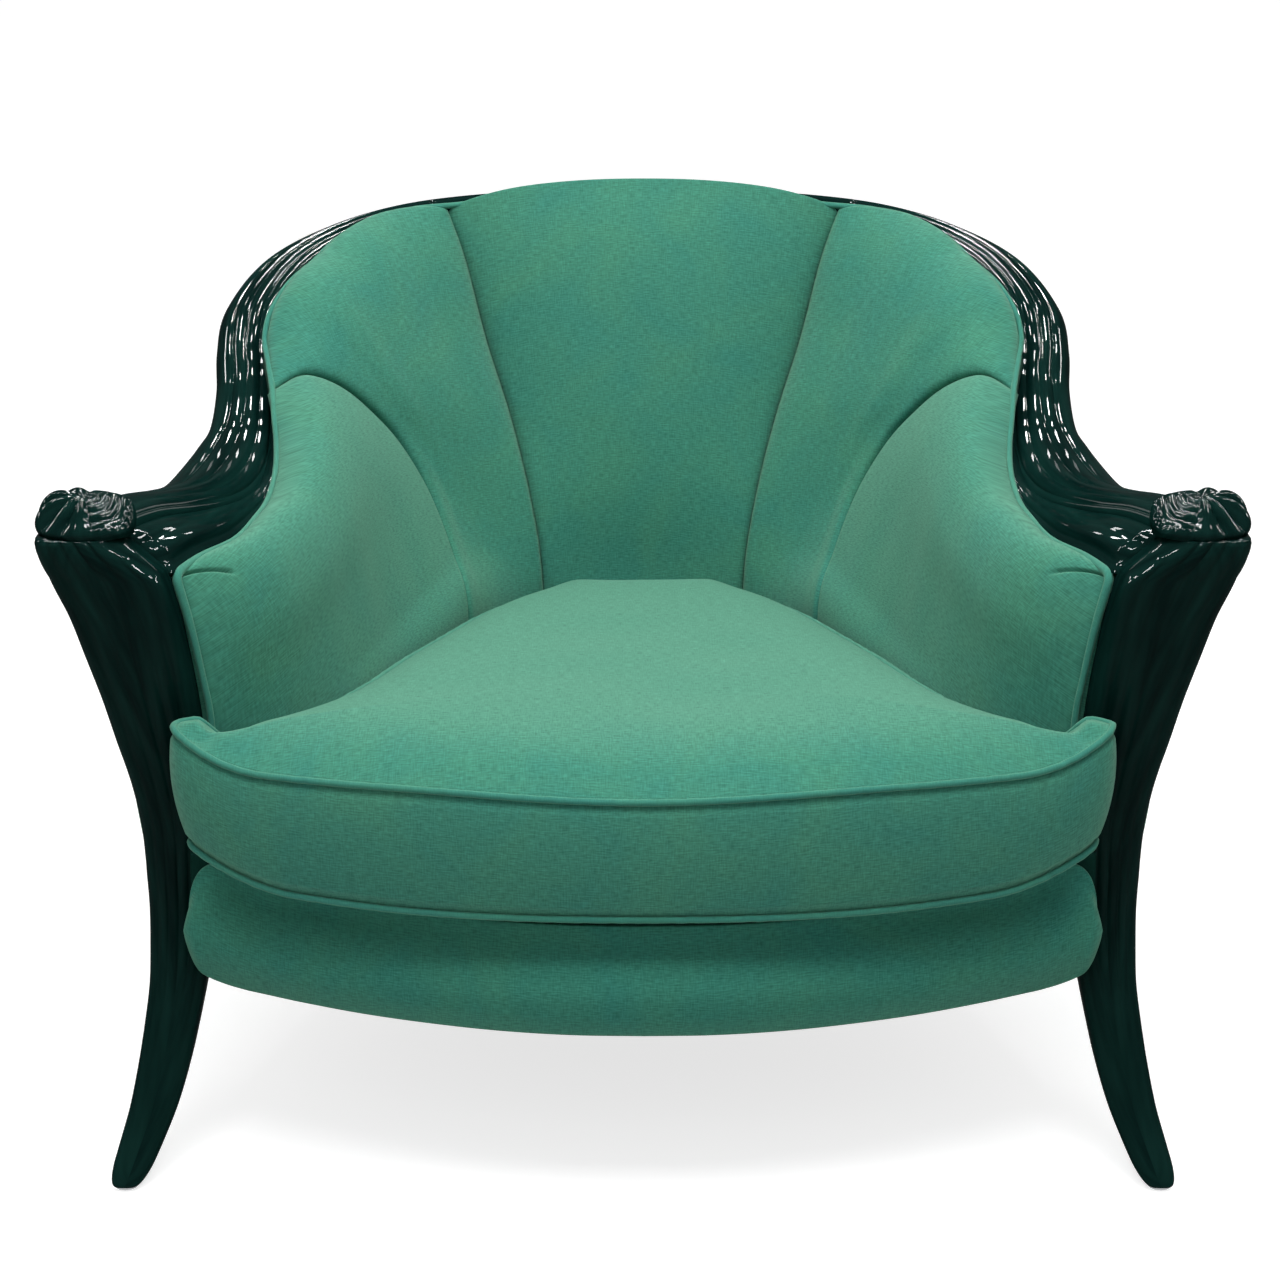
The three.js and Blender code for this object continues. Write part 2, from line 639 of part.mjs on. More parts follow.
// Directions away from the seat at each seam, as turns from the +X axis.
const OUT_FRONT_SHARE = 0.06;
const OUT_ARM_SHARE = 0.18;
const OUT_CENTRE_SHARE = 0.36;
const HALF_TURN = Math.PI;

// A sewn channel: four border curves blended to a surface, crowned between its seams.
function channel(spec, nu, ns) {
  const { left, right, low, high, turnLeft, turnRight, crown } = spec;
  const corner = [low(0), low(1), high(0), high(1)];
  const surface = (u, s) => {
    const p = V(0, 0, 0);
    p.addScaledVector(left(s), 1 - u).addScaledVector(right(s), u);
    p.addScaledVector(low(u), 1 - s).addScaledVector(high(u), s);
    p.addScaledVector(corner[0], -(1 - u) * (1 - s)).addScaledVector(corner[1], -u * (1 - s));
    p.addScaledVector(corner[2], -(1 - u) * s).addScaledVector(corner[3], -u * s);
    return p;
  };
  const front = [];
  const back = [];
  for (let j = 0; j <= ns; j += 1) {
    const s = j / ns;
    const trim = SEAM_GAP / left(s).distanceTo(right(s)) / 2;
    const rowFront = [];
    const rowBack = [];
    for (let i = 0; i <= nu; i += 1) {
      const q = 0.5 - 0.5 * Math.cos(Math.PI * (i / nu));
      const u = mix(trim, 1 - trim, mix(i / nu, q, 0.5));
      const turn = HALF_TURN * mix(turnLeft, turnRight, u);
      const away = V(Math.cos(turn), Math.sin(turn), 0);
      const lift = HALF_TURN * crown.lift * smooth((s - 0.55) / 0.45);
      const bulge = crown.height * (1 - Math.abs(2 * u - 1) ** 2.6) * crownShare(s, crown);
      const p = surface(u, s);
      rowFront.push(p.clone()
        .addScaledVector(away, -bulge * Math.cos(lift))
        .add(V(0, 0, bulge * Math.sin(lift))));
      rowBack.push(p.clone()
        .addScaledVector(away, mix(PAD_BASE_BOTTOM, mix(spec.baseLeft, spec.baseRight, u), s))
        .add(V(0, 0, -PAD_TUCK * smooth(2 * s - 1))));
    }
    front.push(rowFront);
    back.push(rowBack);
  }
  return closedPatch(front, back);
}

// How the crown swells from the foot to the edge under the rail.
function crownShare(s, crown) {
  const low = mix(crown.foot, 1, smooth((s - 0.15) / 0.5));
  const high = Math.sqrt(clamp01((1 - s) / 0.16 + crown.edge ** 2));
  return low * Math.min(1, high);
}

// Two grids of points joined along their borders to one closed body.
function closedPatch(front, back) {
  const rows = front.length;
  const cols = front[0].length;
  const ring = (j) => [...front[j], ...back[j].slice().reverse()];
  const rings = [];
  for (let j = 0; j < rows; j += 1) rings.push(ring(j));
  const position = [];
  rings.forEach((r) => r.forEach((p) => position.push(p.x, p.y, p.z)));
  const m = 2 * cols;
  const index = [];
  for (let j = 0; j + 1 < rows; j += 1) {
    for (let i = 0; i < m; i += 1) {
      const k = (i + 1) % m;
      const [a, b, c, d] = [j * m + i, j * m + k, (j + 1) * m + k, (j + 1) * m + i];
      index.push(a, b, c, a, c, d);
    }
  }
  for (let i = 0; i + 1 < cols; i += 1) {
    const lo = [i, i + 1, m - 2 - i, m - 1 - i];
    index.push(lo[0], lo[2], lo[1], lo[0], lo[3], lo[2]);
    const up = lo.map((v) => v + (rows - 1) * m);
    index.push(up[0], up[1], up[2], up[0], up[2], up[3]);
  }
  const geometry = new THREE.BufferGeometry();
  geometry.setAttribute('position', new THREE.Float32BufferAttribute(position, 3));
  geometry.setIndex(index);
  return outward(geometry);
}

// Seat plan
// Front line of the apron's face: shares of half the width and of the bow from the front
// face of the leg to the middle of the front.
const FRONT_BOW_Y = -445;
const APRON_END_SHARE = 0.794;
const APRON_END_X = HALF_WIDTH * APRON_END_SHARE;
const APRON_LINE_SHARES = [
  [0.000, 1.000], [0.150, 0.985], [0.300, 0.925], [0.450, 0.820], [0.600, 0.680],
  [0.740, 0.510], [0.850, 0.355], [0.940, 0.235], [1.000, 0.175],
];
const apronRow = rowCurve(APRON_LINE_SHARES);
function apronPoint(s, inset) {
  const [x, y] = apronRow(s);
  const step = 1 / (8 * APRON_LINE_SHARES.length);
  const [x0, y0] = apronRow(Math.max(0, s - step));
  const [x1, y1] = apronRow(Math.min(1, s + step));
  const along = V(APRON_END_X * (x1 - x0), (FRONT_BOW_Y - LEG_FRONT_Y) * (y1 - y0), 0).normalize();
  const inward = V(-along.y, along.x, 0);
  return V(APRON_END_X * x, mix(LEG_FRONT_Y, FRONT_BOW_Y, y), 0).addScaledVector(inward, inset);
}

const APRON_STEPS = 11;
const APRON_CROWDING = 1.35;     // stations crowd towards the rounded ends
const apronStation = (i) => 1 - (1 - i / APRON_STEPS) ** APRON_CROWDING;
const flip = (points) => points.map(([x, y]) => [-x, y]);
const flip3 = (rows) => rows.slice(0, -1).reverse().map(([x, y, z]) => [-x, y, z]);
function apronLine(inset) {
  const right = [];
  for (let i = 0; i <= APRON_STEPS; i += 1) {
    const p = apronPoint(apronStation(i), inset);
    right.push([p.x, p.y]);
  }
  return [...flip(right.slice(1)).reverse(), ...right];
}
function apronLength() {
  let length = 0;
  for (let i = 0; i < APRON_STEPS; i += 1) {
    length += apronPoint(i / APRON_STEPS, 0).distanceTo(apronPoint((i + 1) / APRON_STEPS, 0));
  }
  return length;
}
// Section of the apron: shares of its thickness, its height and its crown.
const APRON_SECTION_SHARES = [
  [1.00, 0.03, 0.0], [0.45, 0.00, 0.0], [0.10, 0.07, 0.0], [0.00, 0.28, 0.8], [0.00, 0.52, 1.0],
  [0.00, 0.76, 0.7], [0.12, 0.94, 0.0], [1.00, 0.98, 0.0],
];

// Centre lines of the side and rear seat rails: each runs between the legs, its outer face
// flush with the rear leg.
const legRow = postRow(POST_SIDE_SHARES[7][0]);
const SIDE_FRONT = [mix(legRow.inner, legRow.outer, 0.5), mix(legRow.front, legRow.back, 0.5)];
const SIDE_REAR = [REAR_LEG_X + (REAR_LEG_SIZE - SEAT_RAIL_THICK) / 2, REAR_LEG_Y];
const REAR_RAIL_Y = REAR_LEG_Y + (REAR_LEG_SIZE - SEAT_RAIL_THICK) / 2;

// Cushion outline
// Right half from the middle of the back to the middle of the front: shares of half the
// width and of the way from the front bow to the foot of the centre channel.
const CUSHION_FIT = 14;          // play behind the cushion
const CUSHION_BACK_Y = foot.centre[foot.centre.length - 1][1] - CUSHION_FIT;
const CUSHION_FRONT_Y = -454;
const CUSHION_SHARES = [
  [0.000, 1.000], [0.061, 0.998], [0.119, 0.997], [0.162, 0.992], [0.186, 0.982], [0.210, 0.959],
  [0.235, 0.929], [0.281, 0.879], [0.325, 0.813], [0.377, 0.715], [0.408, 0.656], [0.439, 0.598],
  [0.467, 0.538], [0.493, 0.480], [0.522, 0.426], [0.555, 0.370], [0.607, 0.308], [0.654, 0.266],
  [0.691, 0.239], [0.713, 0.215], [0.735, 0.193], [0.768, 0.181], [0.787, 0.163], [0.779, 0.142],
  [0.743, 0.121], [0.684, 0.097], [0.610, 0.073], [0.533, 0.054], [0.445, 0.036], [0.349, 0.021],
  [0.239, 0.009], [0.121, 0.002], [0.000, 0.000],
];
const CUSHION_POINTS = 60;

function cushionOutline() {
  const half = CUSHION_SHARES.map(([x, y]) => [HALF_WIDTH * x, mix(CUSHION_FRONT_Y, CUSHION_BACK_Y, y)]);
  const curve = rowCurve(half);
  const n = CUSHION_POINTS / 2;
  const points = [];
  for (let i = 0; i < n; i += 1) points.push(curve(i / n));
  for (let i = 0; i < n; i += 1) {
    const [x, y] = curve(1 - i / n);
    points.push([-x, y]);
  }
  return points;
}

const outline = cushionOutline();
const outlineNormals = outline.map((_, i) => {
  const n = outline.length;
  const [a, b] = [outline[(i + n - 1) % n], outline[(i + 1) % n]];
  return new THREE.Vector2(-(b[1] - a[1]), b[0] - a[0]).normalize();
});

// One ring of the cushion: offset from the outline, height share between the welts (or a
// height function for the crowned top) and scale towards the eye of the top.
const cushionLow = CUSHION_BOTTOM_Z + CUSHION_WELT_RADIUS;
const cushionTop = cushionLow + CUSHION_EDGE_HEIGHT;
function cushionRing(offset, rise, lift = 0, bulge = 0) {
  return outline.map(([x, y], i) => {
    const ahead = smooth((SCROLL_Y - y) / CUSHION_WELT_RADIUS / 4);
    const reach = offset + bulge * mix(SIDE_BULGE_SHARE, 1, ahead);
    const px = (x + reach * outlineNormals[i].x) * mix(1 - EAR_TAPER_SHARE, 1, rise);
    const py = y + reach * outlineNormals[i].y;
    const up = mix(cushionLow, cushionTop, rise) + sideRise(x) * rise - droop(y) * (1 - rise);
    return V(px, py, up + lift + earRise(x));
  });
}

// The corners in front of the arms stand up, the sides run a little higher than the middle,
// and the front edge hangs over the apron.
function earRise(x) {
  const share = (Math.abs(x) / HALF_WIDTH - EAR_FROM_SHARE) / EAR_SPAN_SHARE;
  return CUSHION_EAR_RISE * smooth(share);
}
const sideRise = (x) => CUSHION_SIDE_RISE * smooth(Math.abs(x) / HALF_WIDTH / SIDE_RISE_SHARE);
function droop(y) {
  const ahead = mix(CUSHION_FRONT_Y, CUSHION_BACK_Y, DROOP_FROM_SHARE) - y;
  return CUSHION_DROOP * smooth(ahead / (CUSHION_BACK_Y - CUSHION_FRONT_Y) / DROOP_FROM_SHARE);
}

function drawnIn(offset, scale, height) {
  return outline.map(([x, y], i) => {
    const px = scale * (x + offset * outlineNormals[i].x);
    const py = mix(CUSHION_EYE_Y, y + offset * outlineNormals[i].y, scale);
    return V(px, py, height(px, py));
  });
}
const crownRing = (offset, scale) => drawnIn(offset, scale, crownZ);
const underRing = (scale) => drawnIn(0, scale, () => CUSHION_BOTTOM_Z + CLEAR);

function edgeDistance(x, y) {
  let best = Infinity;
  outline.forEach((a, i) => {
    const b = outline[(i + 1) % outline.length];
    const [dx, dy] = [b[0] - a[0], b[1] - a[1]];
    const f = clamp01(((x - a[0]) * dx + (y - a[1]) * dy) / (dx * dx + dy * dy));
    best = Math.min(best, Math.hypot(x - a[0] - f * dx, y - a[1] - f * dy));
  });
  return best;
}

const SIDE_BULGE_SHARE = 0.2;
const EAR_FROM_SHARE = 0.65;
const EAR_SPAN_SHARE = 0.14;
const SIDE_RISE_SHARE = 0.42;
const DROOP_FROM_SHARE = 0.05;
const UNDER_SCALE_SHARE = 0.84;  // the flat under the cushion, as a share of its outline
const EAR_TAPER_SHARE = 0.035;
const CUSHION_EYE_Y = mix(CUSHION_FRONT_Y, CUSHION_BACK_Y, 0.243);
const CROWN_REACH = 42;
const CROWN_POWER = 1.15;
function crownZ(x, y) {
  const reach = edgeDistance(x, y) / CROWN_REACH;
  return cushionTop + sideRise(x) + earRise(x) + CUSHION_CROWN * (1 - Math.exp(-(reach ** CROWN_POWER)));
}

function cushionBody() {
  const r = CUSHION_WELT_RADIUS;
  const notch = -(r + 2 * CLEAR);
  return loft([
    underRing(UNDER_SCALE_SHARE),
    cushionRing(notch, 0, -0.4 * r),
    cushionRing(notch, 0, 0.4 * r),
    cushionRing(-0.4 * r, 0, 1.4 * r),
    cushionRing(0, 0.28, 0, 0.7 * CUSHION_BULGE),
    cushionRing(0, 0.5, 0, CUSHION_BULGE),
    cushionRing(0, 0.72, 0, 0.7 * CUSHION_BULGE),
    cushionRing(-0.4 * r, 1, -1.4 * r),
    cushionRing(notch, 1, -0.4 * r),
    cushionRing(notch, 1, 0.4 * r),
    crownRing(notch, 0.95),
    crownRing(notch, 0.84),
    crownRing(notch, 0.64),
    crownRing(notch, 0.36),
  ]);
}

const cushionWelt = (rise) => tube(cushionRing(0, rise), CUSHION_WELT_RADIUS, 5, true);

// Outside covers
// Lower edge of the outside cover: along the side rail, round the rear leg and along the back.
const COVER_REACH = CLEAR + COVER_THICK;
const SIDE_ALONG_SHARES = [0.00, 0.11, 0.22, 0.33, 0.45, 0.57, 0.70, 0.83, 0.95];
const BACK_ACROSS_SHARES = [0.55, 0.00];
const CORNER_SHARE = 0.45;
const sideAway = new THREE.Vector2(SIDE_REAR[1] - SIDE_FRONT[1], SIDE_FRONT[0] - SIDE_REAR[0]).normalize();
const coverRearY = REAR_LEG_Y + REAR_LEG_SIZE / 2 + COVER_REACH;
const coverSideX = REAR_LEG_X + REAR_LEG_SIZE / 2 + COVER_REACH;
const OUTSIDE_FOOT = [
  ...SIDE_ALONG_SHARES.map((s) => [
    mix(SIDE_FRONT[0], SIDE_REAR[0], s) + (SEAT_RAIL_THICK / 2 + COVER_REACH) * sideAway.x,
    mix(SIDE_FRONT[1], SIDE_REAR[1], s) + (SEAT_RAIL_THICK / 2 + COVER_REACH) * sideAway.y,
  ]),
  [coverSideX, mix(REAR_LEG_Y, coverRearY, CORNER_SHARE)],
  [mix(REAR_LEG_X, coverSideX, 1 - CORNER_SHARE), coverRearY],
  ...BACK_ACROSS_SHARES.map((s) => [REAR_LEG_X * s, coverRearY]),
];
const outsideFoot = rowCurve(OUTSIDE_FOOT);
const OUTSIDE_START_SHARE = 0.04;
const OUTSIDE_SPLIT_SHARE = 0.79;
const OUTSIDE_BOTTOM_Z = 176;

function outsidePatch(place, nu, ns) {
  const front = [];
  const back = [];
  for (let j = 0; j <= ns; j += 1) {
    const s = j / ns;
    const rowFront = [];
    const rowBack = [];
    for (let i = 0; i <= nu; i += 1) {
      const [u, side] = place(i / nu);
      const t = mix(OUTSIDE_START_SHARE, 1, u);
      const top = railOffset(t, 0.26, -0.56);
      const [fx, fy] = outsideFoot(u);
      const low = V(fx, fy, OUTSIDE_BOTTOM_Z);
      const p = low.lerp(top, s);
      const f = railFrame(t);
      const away = V(f.out.x, f.out.y, 0).normalize();
      const belly = COVER_CROWN * Math.sin(Math.PI * s);
      const outer = p.clone().addScaledVector(away, belly);
      const inner = p.clone().addScaledVector(away, belly - COVER_THICK);
      rowFront.push(V(side * outer.x, outer.y, outer.z));
      rowBack.push(V(side * inner.x, inner.y, inner.z));
    }
    front.push(rowFront);
    back.push(rowBack);
  }
  return closedPatch(front, back);
}

// Pieces
const chair = new THREE.Group();
const add = (name, geometry, finish) => {
  const mesh = new THREE.Mesh(geometry, new THREE.MeshStandardMaterial(finish));
  mesh.name = name;
  chair.add(mesh);
  return mesh;
};
const addPair = (name, geometry, finish) => {
  add(`${name}_right`, geometry, finish);
  add(`${name}_left`, mirrored(geometry), finish);
};

// Joint between arm rail and crest rail, along the rail's line
const CREST_JOINT_SHARE = 0.84;
const ARM_RINGS = 25;
const CREST_RINGS = 8;

// Arm rail with its terminal, bored for its two dowels
const armFrame = railFrame(CREST_JOINT_SHARE);
const crestPin = (radius, extra) => pin(
  armFrame.at.clone().addScaledVector(armFrame.along, -DOWEL_LENGTH / 2 - extra),
  armFrame.at.clone().addScaledVector(armFrame.along, DOWEL_LENGTH / 2 + extra),
  radius,
  12,
);
const scroll = railPoint(0);
const postPin = (radius, extra) => {
  const g = cylinderZ(radius, POST_TOP_Z - DOWEL_LENGTH / 2 - extra, DOWEL_LENGTH + 2 * extra, 12);
  g.translate(scroll.x, scroll.y, 0);
  return g;
};
const gapShare = CLEAR / armFrame.width / 8;
const armRail = cut(
  join(railBody(0, CREST_JOINT_SHARE - gapShare, ARM_RINGS, 0, true), terminal(0, true)),
  [crestPin(DOWEL_RADIUS + CLEAR, CLEAR), postPin(DOWEL_RADIUS + CLEAR, CLEAR)],
);
addPair('arm_rail', armRail, LACQUER);
addPair('crest_dowel', crestPin(DOWEL_RADIUS, 0), BIRCH);
addPair('post_dowel', postPin(DOWEL_RADIUS, 0), BIRCH);

// Crest rail, from joint to joint behind the channels
const crestHalf = railBody(CREST_JOINT_SHARE + gapShare, 1, CREST_RINGS, 0, true);
const crestRail = cut(join(crestHalf, mirrored(crestHalf)), [
  crestPin(DOWEL_RADIUS + CLEAR, CLEAR),
  mirrored(crestPin(DOWEL_RADIUS + CLEAR, CLEAR)),
]);
add('crest_rail', crestRail, LACQUER);

const railCutter = join(
  railBody(0, CREST_JOINT_SHARE - gapShare, ARM_RINGS, CLEAR, false),
  railBody(CREST_JOINT_SHARE - gapShare, 1, CREST_RINGS, CLEAR, false),
  terminal(CLEAR, false),
);
const railCutterLeft = mirrored(railCutter);
const postCutter = postBody(CLEAR, false);
const rearCutter = rearLegBody(CLEAR);

// Corner screws: each runs level through its block into the leg
const BLOCK_Z = SEAT_RAIL_BOTTOM + (SEAT_RAIL_HEIGHT - BLOCK_HEIGHT) / 2;
const sideLength = Math.hypot(SIDE_REAR[0] - SIDE_FRONT[0], SIDE_REAR[1] - SIDE_FRONT[1]);
const onSide = (s) => [mix(SIDE_FRONT[0], SIDE_REAR[0], s), mix(SIDE_FRONT[1], SIDE_REAR[1], s)];
const BLOCK_FRONT_SHARE = 0.70;
const frontMiddle = apronPoint(BLOCK_FRONT_SHARE, APRON_THICK + SEAT_RAIL_THICK / 2);
const frontBlockPlan = [SIDE_FRONT, [frontMiddle.x, frontMiddle.y], onSide(BLOCK_LEG / sideLength)];
const rearBlockPlan = [
  SIDE_REAR,
  [REAR_LEG_X - BLOCK_LEG, REAR_RAIL_Y],
  onSide(1 - BLOCK_LEG / sideLength),
];
function cornerScrew(plan, target, grow) {
  const [, [x1, y1], [x2, y2]] = plan;
  const middle = V((x1 + x2) / 2, (y1 + y2) / 2, BLOCK_Z + BLOCK_HEIGHT / 2);
  const aim = V(target[0], target[1], middle.z).sub(middle).normalize();
  const at = (d) => middle.clone().addScaledVector(aim, d);
  const shank = pin(at(-SCREW_HEAD_THICK / 2 - CLEAR), at(SCREW_LENGTH + grow), SCREW_RADIUS + grow, 8);
  return grow ? shank : join(pin(at(-SCREW_HEAD_THICK - CLEAR), at(-CLEAR), SCREW_HEAD_RADIUS, 12), shank);
}
const frontTarget = [legRow.inner, mix(legRow.front, legRow.back, 0.62)];
const frontScrew = (grow) => cornerScrew(frontBlockPlan, frontTarget, grow);
const rearScrew = (grow) => cornerScrew(rearBlockPlan, [REAR_LEG_X, REAR_LEG_Y], grow);

// Glides under the feet
const feet = [
  ['front', mix(postRow(0).outer, postRow(0).inner, 0.5), mix(postRow(0).front, postRow(0).back, 0.5)],
  ['rear', REAR_FOOT_X, REAR_FOOT_Y],
];
const glide = ([, x, y], grow) => {
  const disc = cylinderZ(GLIDE_RADIUS, -GLIDE_THICK - CLEAR, GLIDE_THICK, 12);
  const nail = cylinderZ(NAIL_RADIUS + grow, -GLIDE_THICK / 2 - CLEAR, NAIL_LENGTH + 2 * grow, 6);
  const g = grow ? nail : join(disc, nail);
  g.translate(x, y, 0);
  return g;
};

// Front posts and rear legs
const bores = [postPin(DOWEL_RADIUS + CLEAR, CLEAR), glide(feet[0], CLEAR), frontScrew(CLEAR)];
addPair('front_leg', cut(postBody(0, true), [railCutter, ...bores]), LACQUER);
addPair('rear_leg', cut(rearLegBody(0), [railCutter, glide(feet[1], CLEAR), rearScrew(CLEAR)]), LACQUER);
feet.forEach((foot) => addPair(`${foot[0]}_glide`, glide(foot, 0), NICKEL));

// Seat rails
const frontRail = cut(slab([
  ...apronLine(APRON_THICK + CLEAR),
  ...apronLine(APRON_THICK + CLEAR + SEAT_RAIL_THICK).reverse(),
], SEAT_RAIL_BOTTOM, SEAT_RAIL_HEIGHT), [postCutter, mirrored(postCutter)]);
add('front_seat_rail', frontRail, BEECH);

const sideRail = board(SIDE_FRONT, SIDE_REAR, SEAT_RAIL_THICK, SEAT_RAIL_BOTTOM, SEAT_RAIL_HEIGHT);
addPair('side_seat_rail', cut(sideRail, [postCutter, rearCutter]), BEECH);
const across = (y) => [[-REAR_LEG_X, y], [REAR_LEG_X, y]];
const rearRail = board(...across(REAR_RAIL_Y), SEAT_RAIL_THICK, SEAT_RAIL_BOTTOM, SEAT_RAIL_HEIGHT);
add('rear_seat_rail', cut(rearRail, [rearCutter, mirrored(rearCutter)]), BEECH);

// Upright behind the centre channel, from rear rail to crest rail
const upright = (grow) => {
  const w = UPRIGHT_WIDTH / 2 + grow;
  const d = UPRIGHT_THICK / 2 + grow;
  const section = (y, z) => [V(-w, y - d, z), V(w, y - d, z), V(w, y + d, z), V(-w, y + d, z)];
  return loft([
    section(REAR_RAIL_Y, SEAT_RAIL_TOP + CLEAR),
    section(CREST_Y - UPRIGHT_THICK / 2, CREST_Z),
  ]);
};
add('back_centre_upright', cut(upright(0), [railCutter, railCutterLeft]), BEECH);

// Stretchers above the deck
const armStretcher = (grow) => board(
  SIDE_FRONT,
  SIDE_REAR,
  STRETCHER_THICK + 2 * grow,
  STRETCHER_BOTTOM - grow,
  STRETCHER_HEIGHT + 2 * grow,
);
addPair('arm_stretcher', cut(armStretcher(0), [postCutter, rearCutter]), BEECH);
const backStretcher = board(...across(REAR_LEG_Y), STRETCHER_THICK, STRETCHER_BOTTOM, STRETCHER_HEIGHT);
add('back_stretcher', cut(backStretcher, [rearCutter, mirrored(rearCutter), upright(CLEAR)]), BEECH);

// Corner blocks, each held by a screw that runs into the leg
const frontRailGrown = slab([
  ...apronLine(APRON_THICK),
  ...apronLine(APRON_THICK + SEAT_RAIL_THICK + 2 * CLEAR).reverse(),
], SEAT_RAIL_BOTTOM - CLEAR, SEAT_RAIL_HEIGHT + 2 * CLEAR);
const sideRailGrown = board(
  SIDE_FRONT,
  SIDE_REAR,
  SEAT_RAIL_THICK + 2 * CLEAR,
  SEAT_RAIL_BOTTOM - CLEAR,
  SEAT_RAIL_HEIGHT + 2 * CLEAR,
);
const rearRailGrown = board(
  ...across(REAR_RAIL_Y),
  SEAT_RAIL_THICK + 2 * CLEAR,
  SEAT_RAIL_BOTTOM - CLEAR,
  SEAT_RAIL_HEIGHT + 2 * CLEAR,
);
const frontBlock = cut(
  slab(frontBlockPlan, BLOCK_Z, BLOCK_HEIGHT),
  [frontRailGrown, sideRailGrown, postCutter, frontScrew(CLEAR)],
);
addPair('front_corner_block', frontBlock, BEECH);
addPair('front_corner_screw', frontScrew(0), STEEL);

const rearBlock = cut(
  slab(rearBlockPlan, BLOCK_Z, BLOCK_HEIGHT),
  [rearRailGrown, sideRailGrown, rearCutter, rearScrew(CLEAR)],
);
addPair('rear_corner_block', rearBlock, BEECH);
addPair('rear_corner_screw', rearScrew(0), STEEL);


// Webbing: straps from front to back, and cross straps woven over and under them
const sideX = (y) => mix(SIDE_FRONT[0], SIDE_REAR[0], (y - SIDE_FRONT[1]) / (SIDE_REAR[1] - SIDE_FRONT[1]));
function frontY(x, inset) {
  let low = 0;
  let high = 1;
  for (let i = 0; i < 24; i += 1) {
    const middle = (low + high) / 2;
    if (apronPoint(middle, inset).x < Math.abs(x)) low = middle;
    else high = middle;
  }
  return apronPoint(low, inset).y;
}
const longX = [];
for (let i = 0; i < WEB_LONG_COUNT; i += 1) {
  longX.push((i - (WEB_LONG_COUNT - 1) / 2) * WEB_LONG_PITCH);
}
longX.forEach((x, i) => {
  const y = frontY(Math.abs(x) - WEB_WIDTH / 2, APRON_THICK + SEAT_RAIL_THICK / 2);
  const [from, to] = [x - WEB_WIDTH / 2, x + WEB_WIDTH / 2];
  const plan = [[from, y], [to, y], [to, REAR_RAIL_Y], [from, REAR_RAIL_Y]];
  add(`webbing_long_${i + 1}`, slab(plan, WEB_Z, WEB_THICK), JUTE);
});
function crossStrap(row) {
  const y = WEB_CROSS_Y + (row - (WEB_CROSS_COUNT - 1) / 2) * WEB_CROSS_PITCH;
  const end = sideX(y + WEB_WIDTH / 2);
  const step = WEB_THICK + CLEAR;
  const land = end - SEAT_RAIL_THICK / 2 - OVERRUN;
  const line = [[-end, 0], [-land, 0]];
  longX.forEach((x, i) => {
    const level = (i + row) % 2 ? -step : step;
    const reach = WEB_WIDTH / 2 + CLEAR;
    line.push([x - reach - WEB_THICK, level], [x + reach + WEB_THICK, level]);
  });
  line.push([land, 0], [end, 0]);
  const shape = new THREE.Shape([
    ...line.map(([x, z]) => new THREE.Vector2(x, z)),
    ...line.slice().reverse().map(([x, z]) => new THREE.Vector2(x, z + WEB_THICK)),
  ]);
  const g = new THREE.ExtrudeGeometry(shape, { depth: WEB_WIDTH, bevelEnabled: false });
  g.rotateX(Math.PI / 2);
  g.translate(0, y + WEB_WIDTH / 2, WEB_Z);
  return welded(g);
}
for (let row = 0; row < WEB_CROSS_COUNT; row += 1) add(`webbing_cross_${row + 1}`, crossStrap(row), JUTE);

// Deck and dust cover
const seatPlan = (inset, back) => {
  const front = apronLine(inset);
  const half = front.length >> 1;
  const right = front.slice(half).filter(([x]) => x < SIDE_FRONT[0]);
  return [
    ...flip(right.slice(1)).reverse(),
    ...right,
    SIDE_FRONT,
    [sideX(back), back],
    [-sideX(back), back],
    [-SIDE_FRONT[0], SIDE_FRONT[1]],
  ];
};
const legCutters = [postCutter, mirrored(postCutter), rearCutter, mirrored(rearCutter)];
const deckBack = REAR_RAIL_Y - UPRIGHT_THICK / 2 - OVERRUN;
const deck = slab(seatPlan(APRON_THICK + CLEAR, deckBack), DECK_BOTTOM_Z, DECK_THICK);
add('seat_deck', cut(deck, legCutters), DECK_CLOTH);
const dustZ = SEAT_RAIL_BOTTOM - CLEAR - DUST_COVER_THICK;
add('dust_cover', cut(
  slab(seatPlan(APRON_THICK + SEAT_RAIL_THICK / 2, REAR_RAIL_Y), dustZ, DUST_COVER_THICK),
  legCutters,
), CAMBRIC);

// Piping between the cover and the show wood
const weltPoints = [];
const WELT_FOOT_SHARE = 0.22;
const WELT_SIDES = 5;
for (let i = 0; i < 5; i += 1) weltPoints.push(seamFront(mix(WELT_FOOT_SHARE, 1, i / 5)));
[[edge.arm, 9], [edge.side, 10], [edge.centre, 4]].forEach(([rows, count]) => {
  const curve = pointCurve(rows);
  for (let i = 0; i < count; i += 1) weltPoints.push(curve(i / count));
});
const weltLine = [
  ...weltPoints.map(mirrorPoint),
  V(...edge.centre[edge.centre.length - 1]),
  ...weltPoints.slice().reverse(),
];
const allRails = [railCutter, railCutterLeft, postCutter, mirrored(postCutter)];
const weltCutters = [...allRails, rearCutter, mirrored(rearCutter)];
add('frame_welt', cut(tube(weltLine, WELT_RADIUS, WELT_SIDES, false), weltCutters), WELTING);
const weltReach = (WELT_RADIUS + CLEAR) / Math.cos(Math.PI / WELT_SIDES);
const weltCutter = tube(weltLine, weltReach, WELT_SIDES, false);

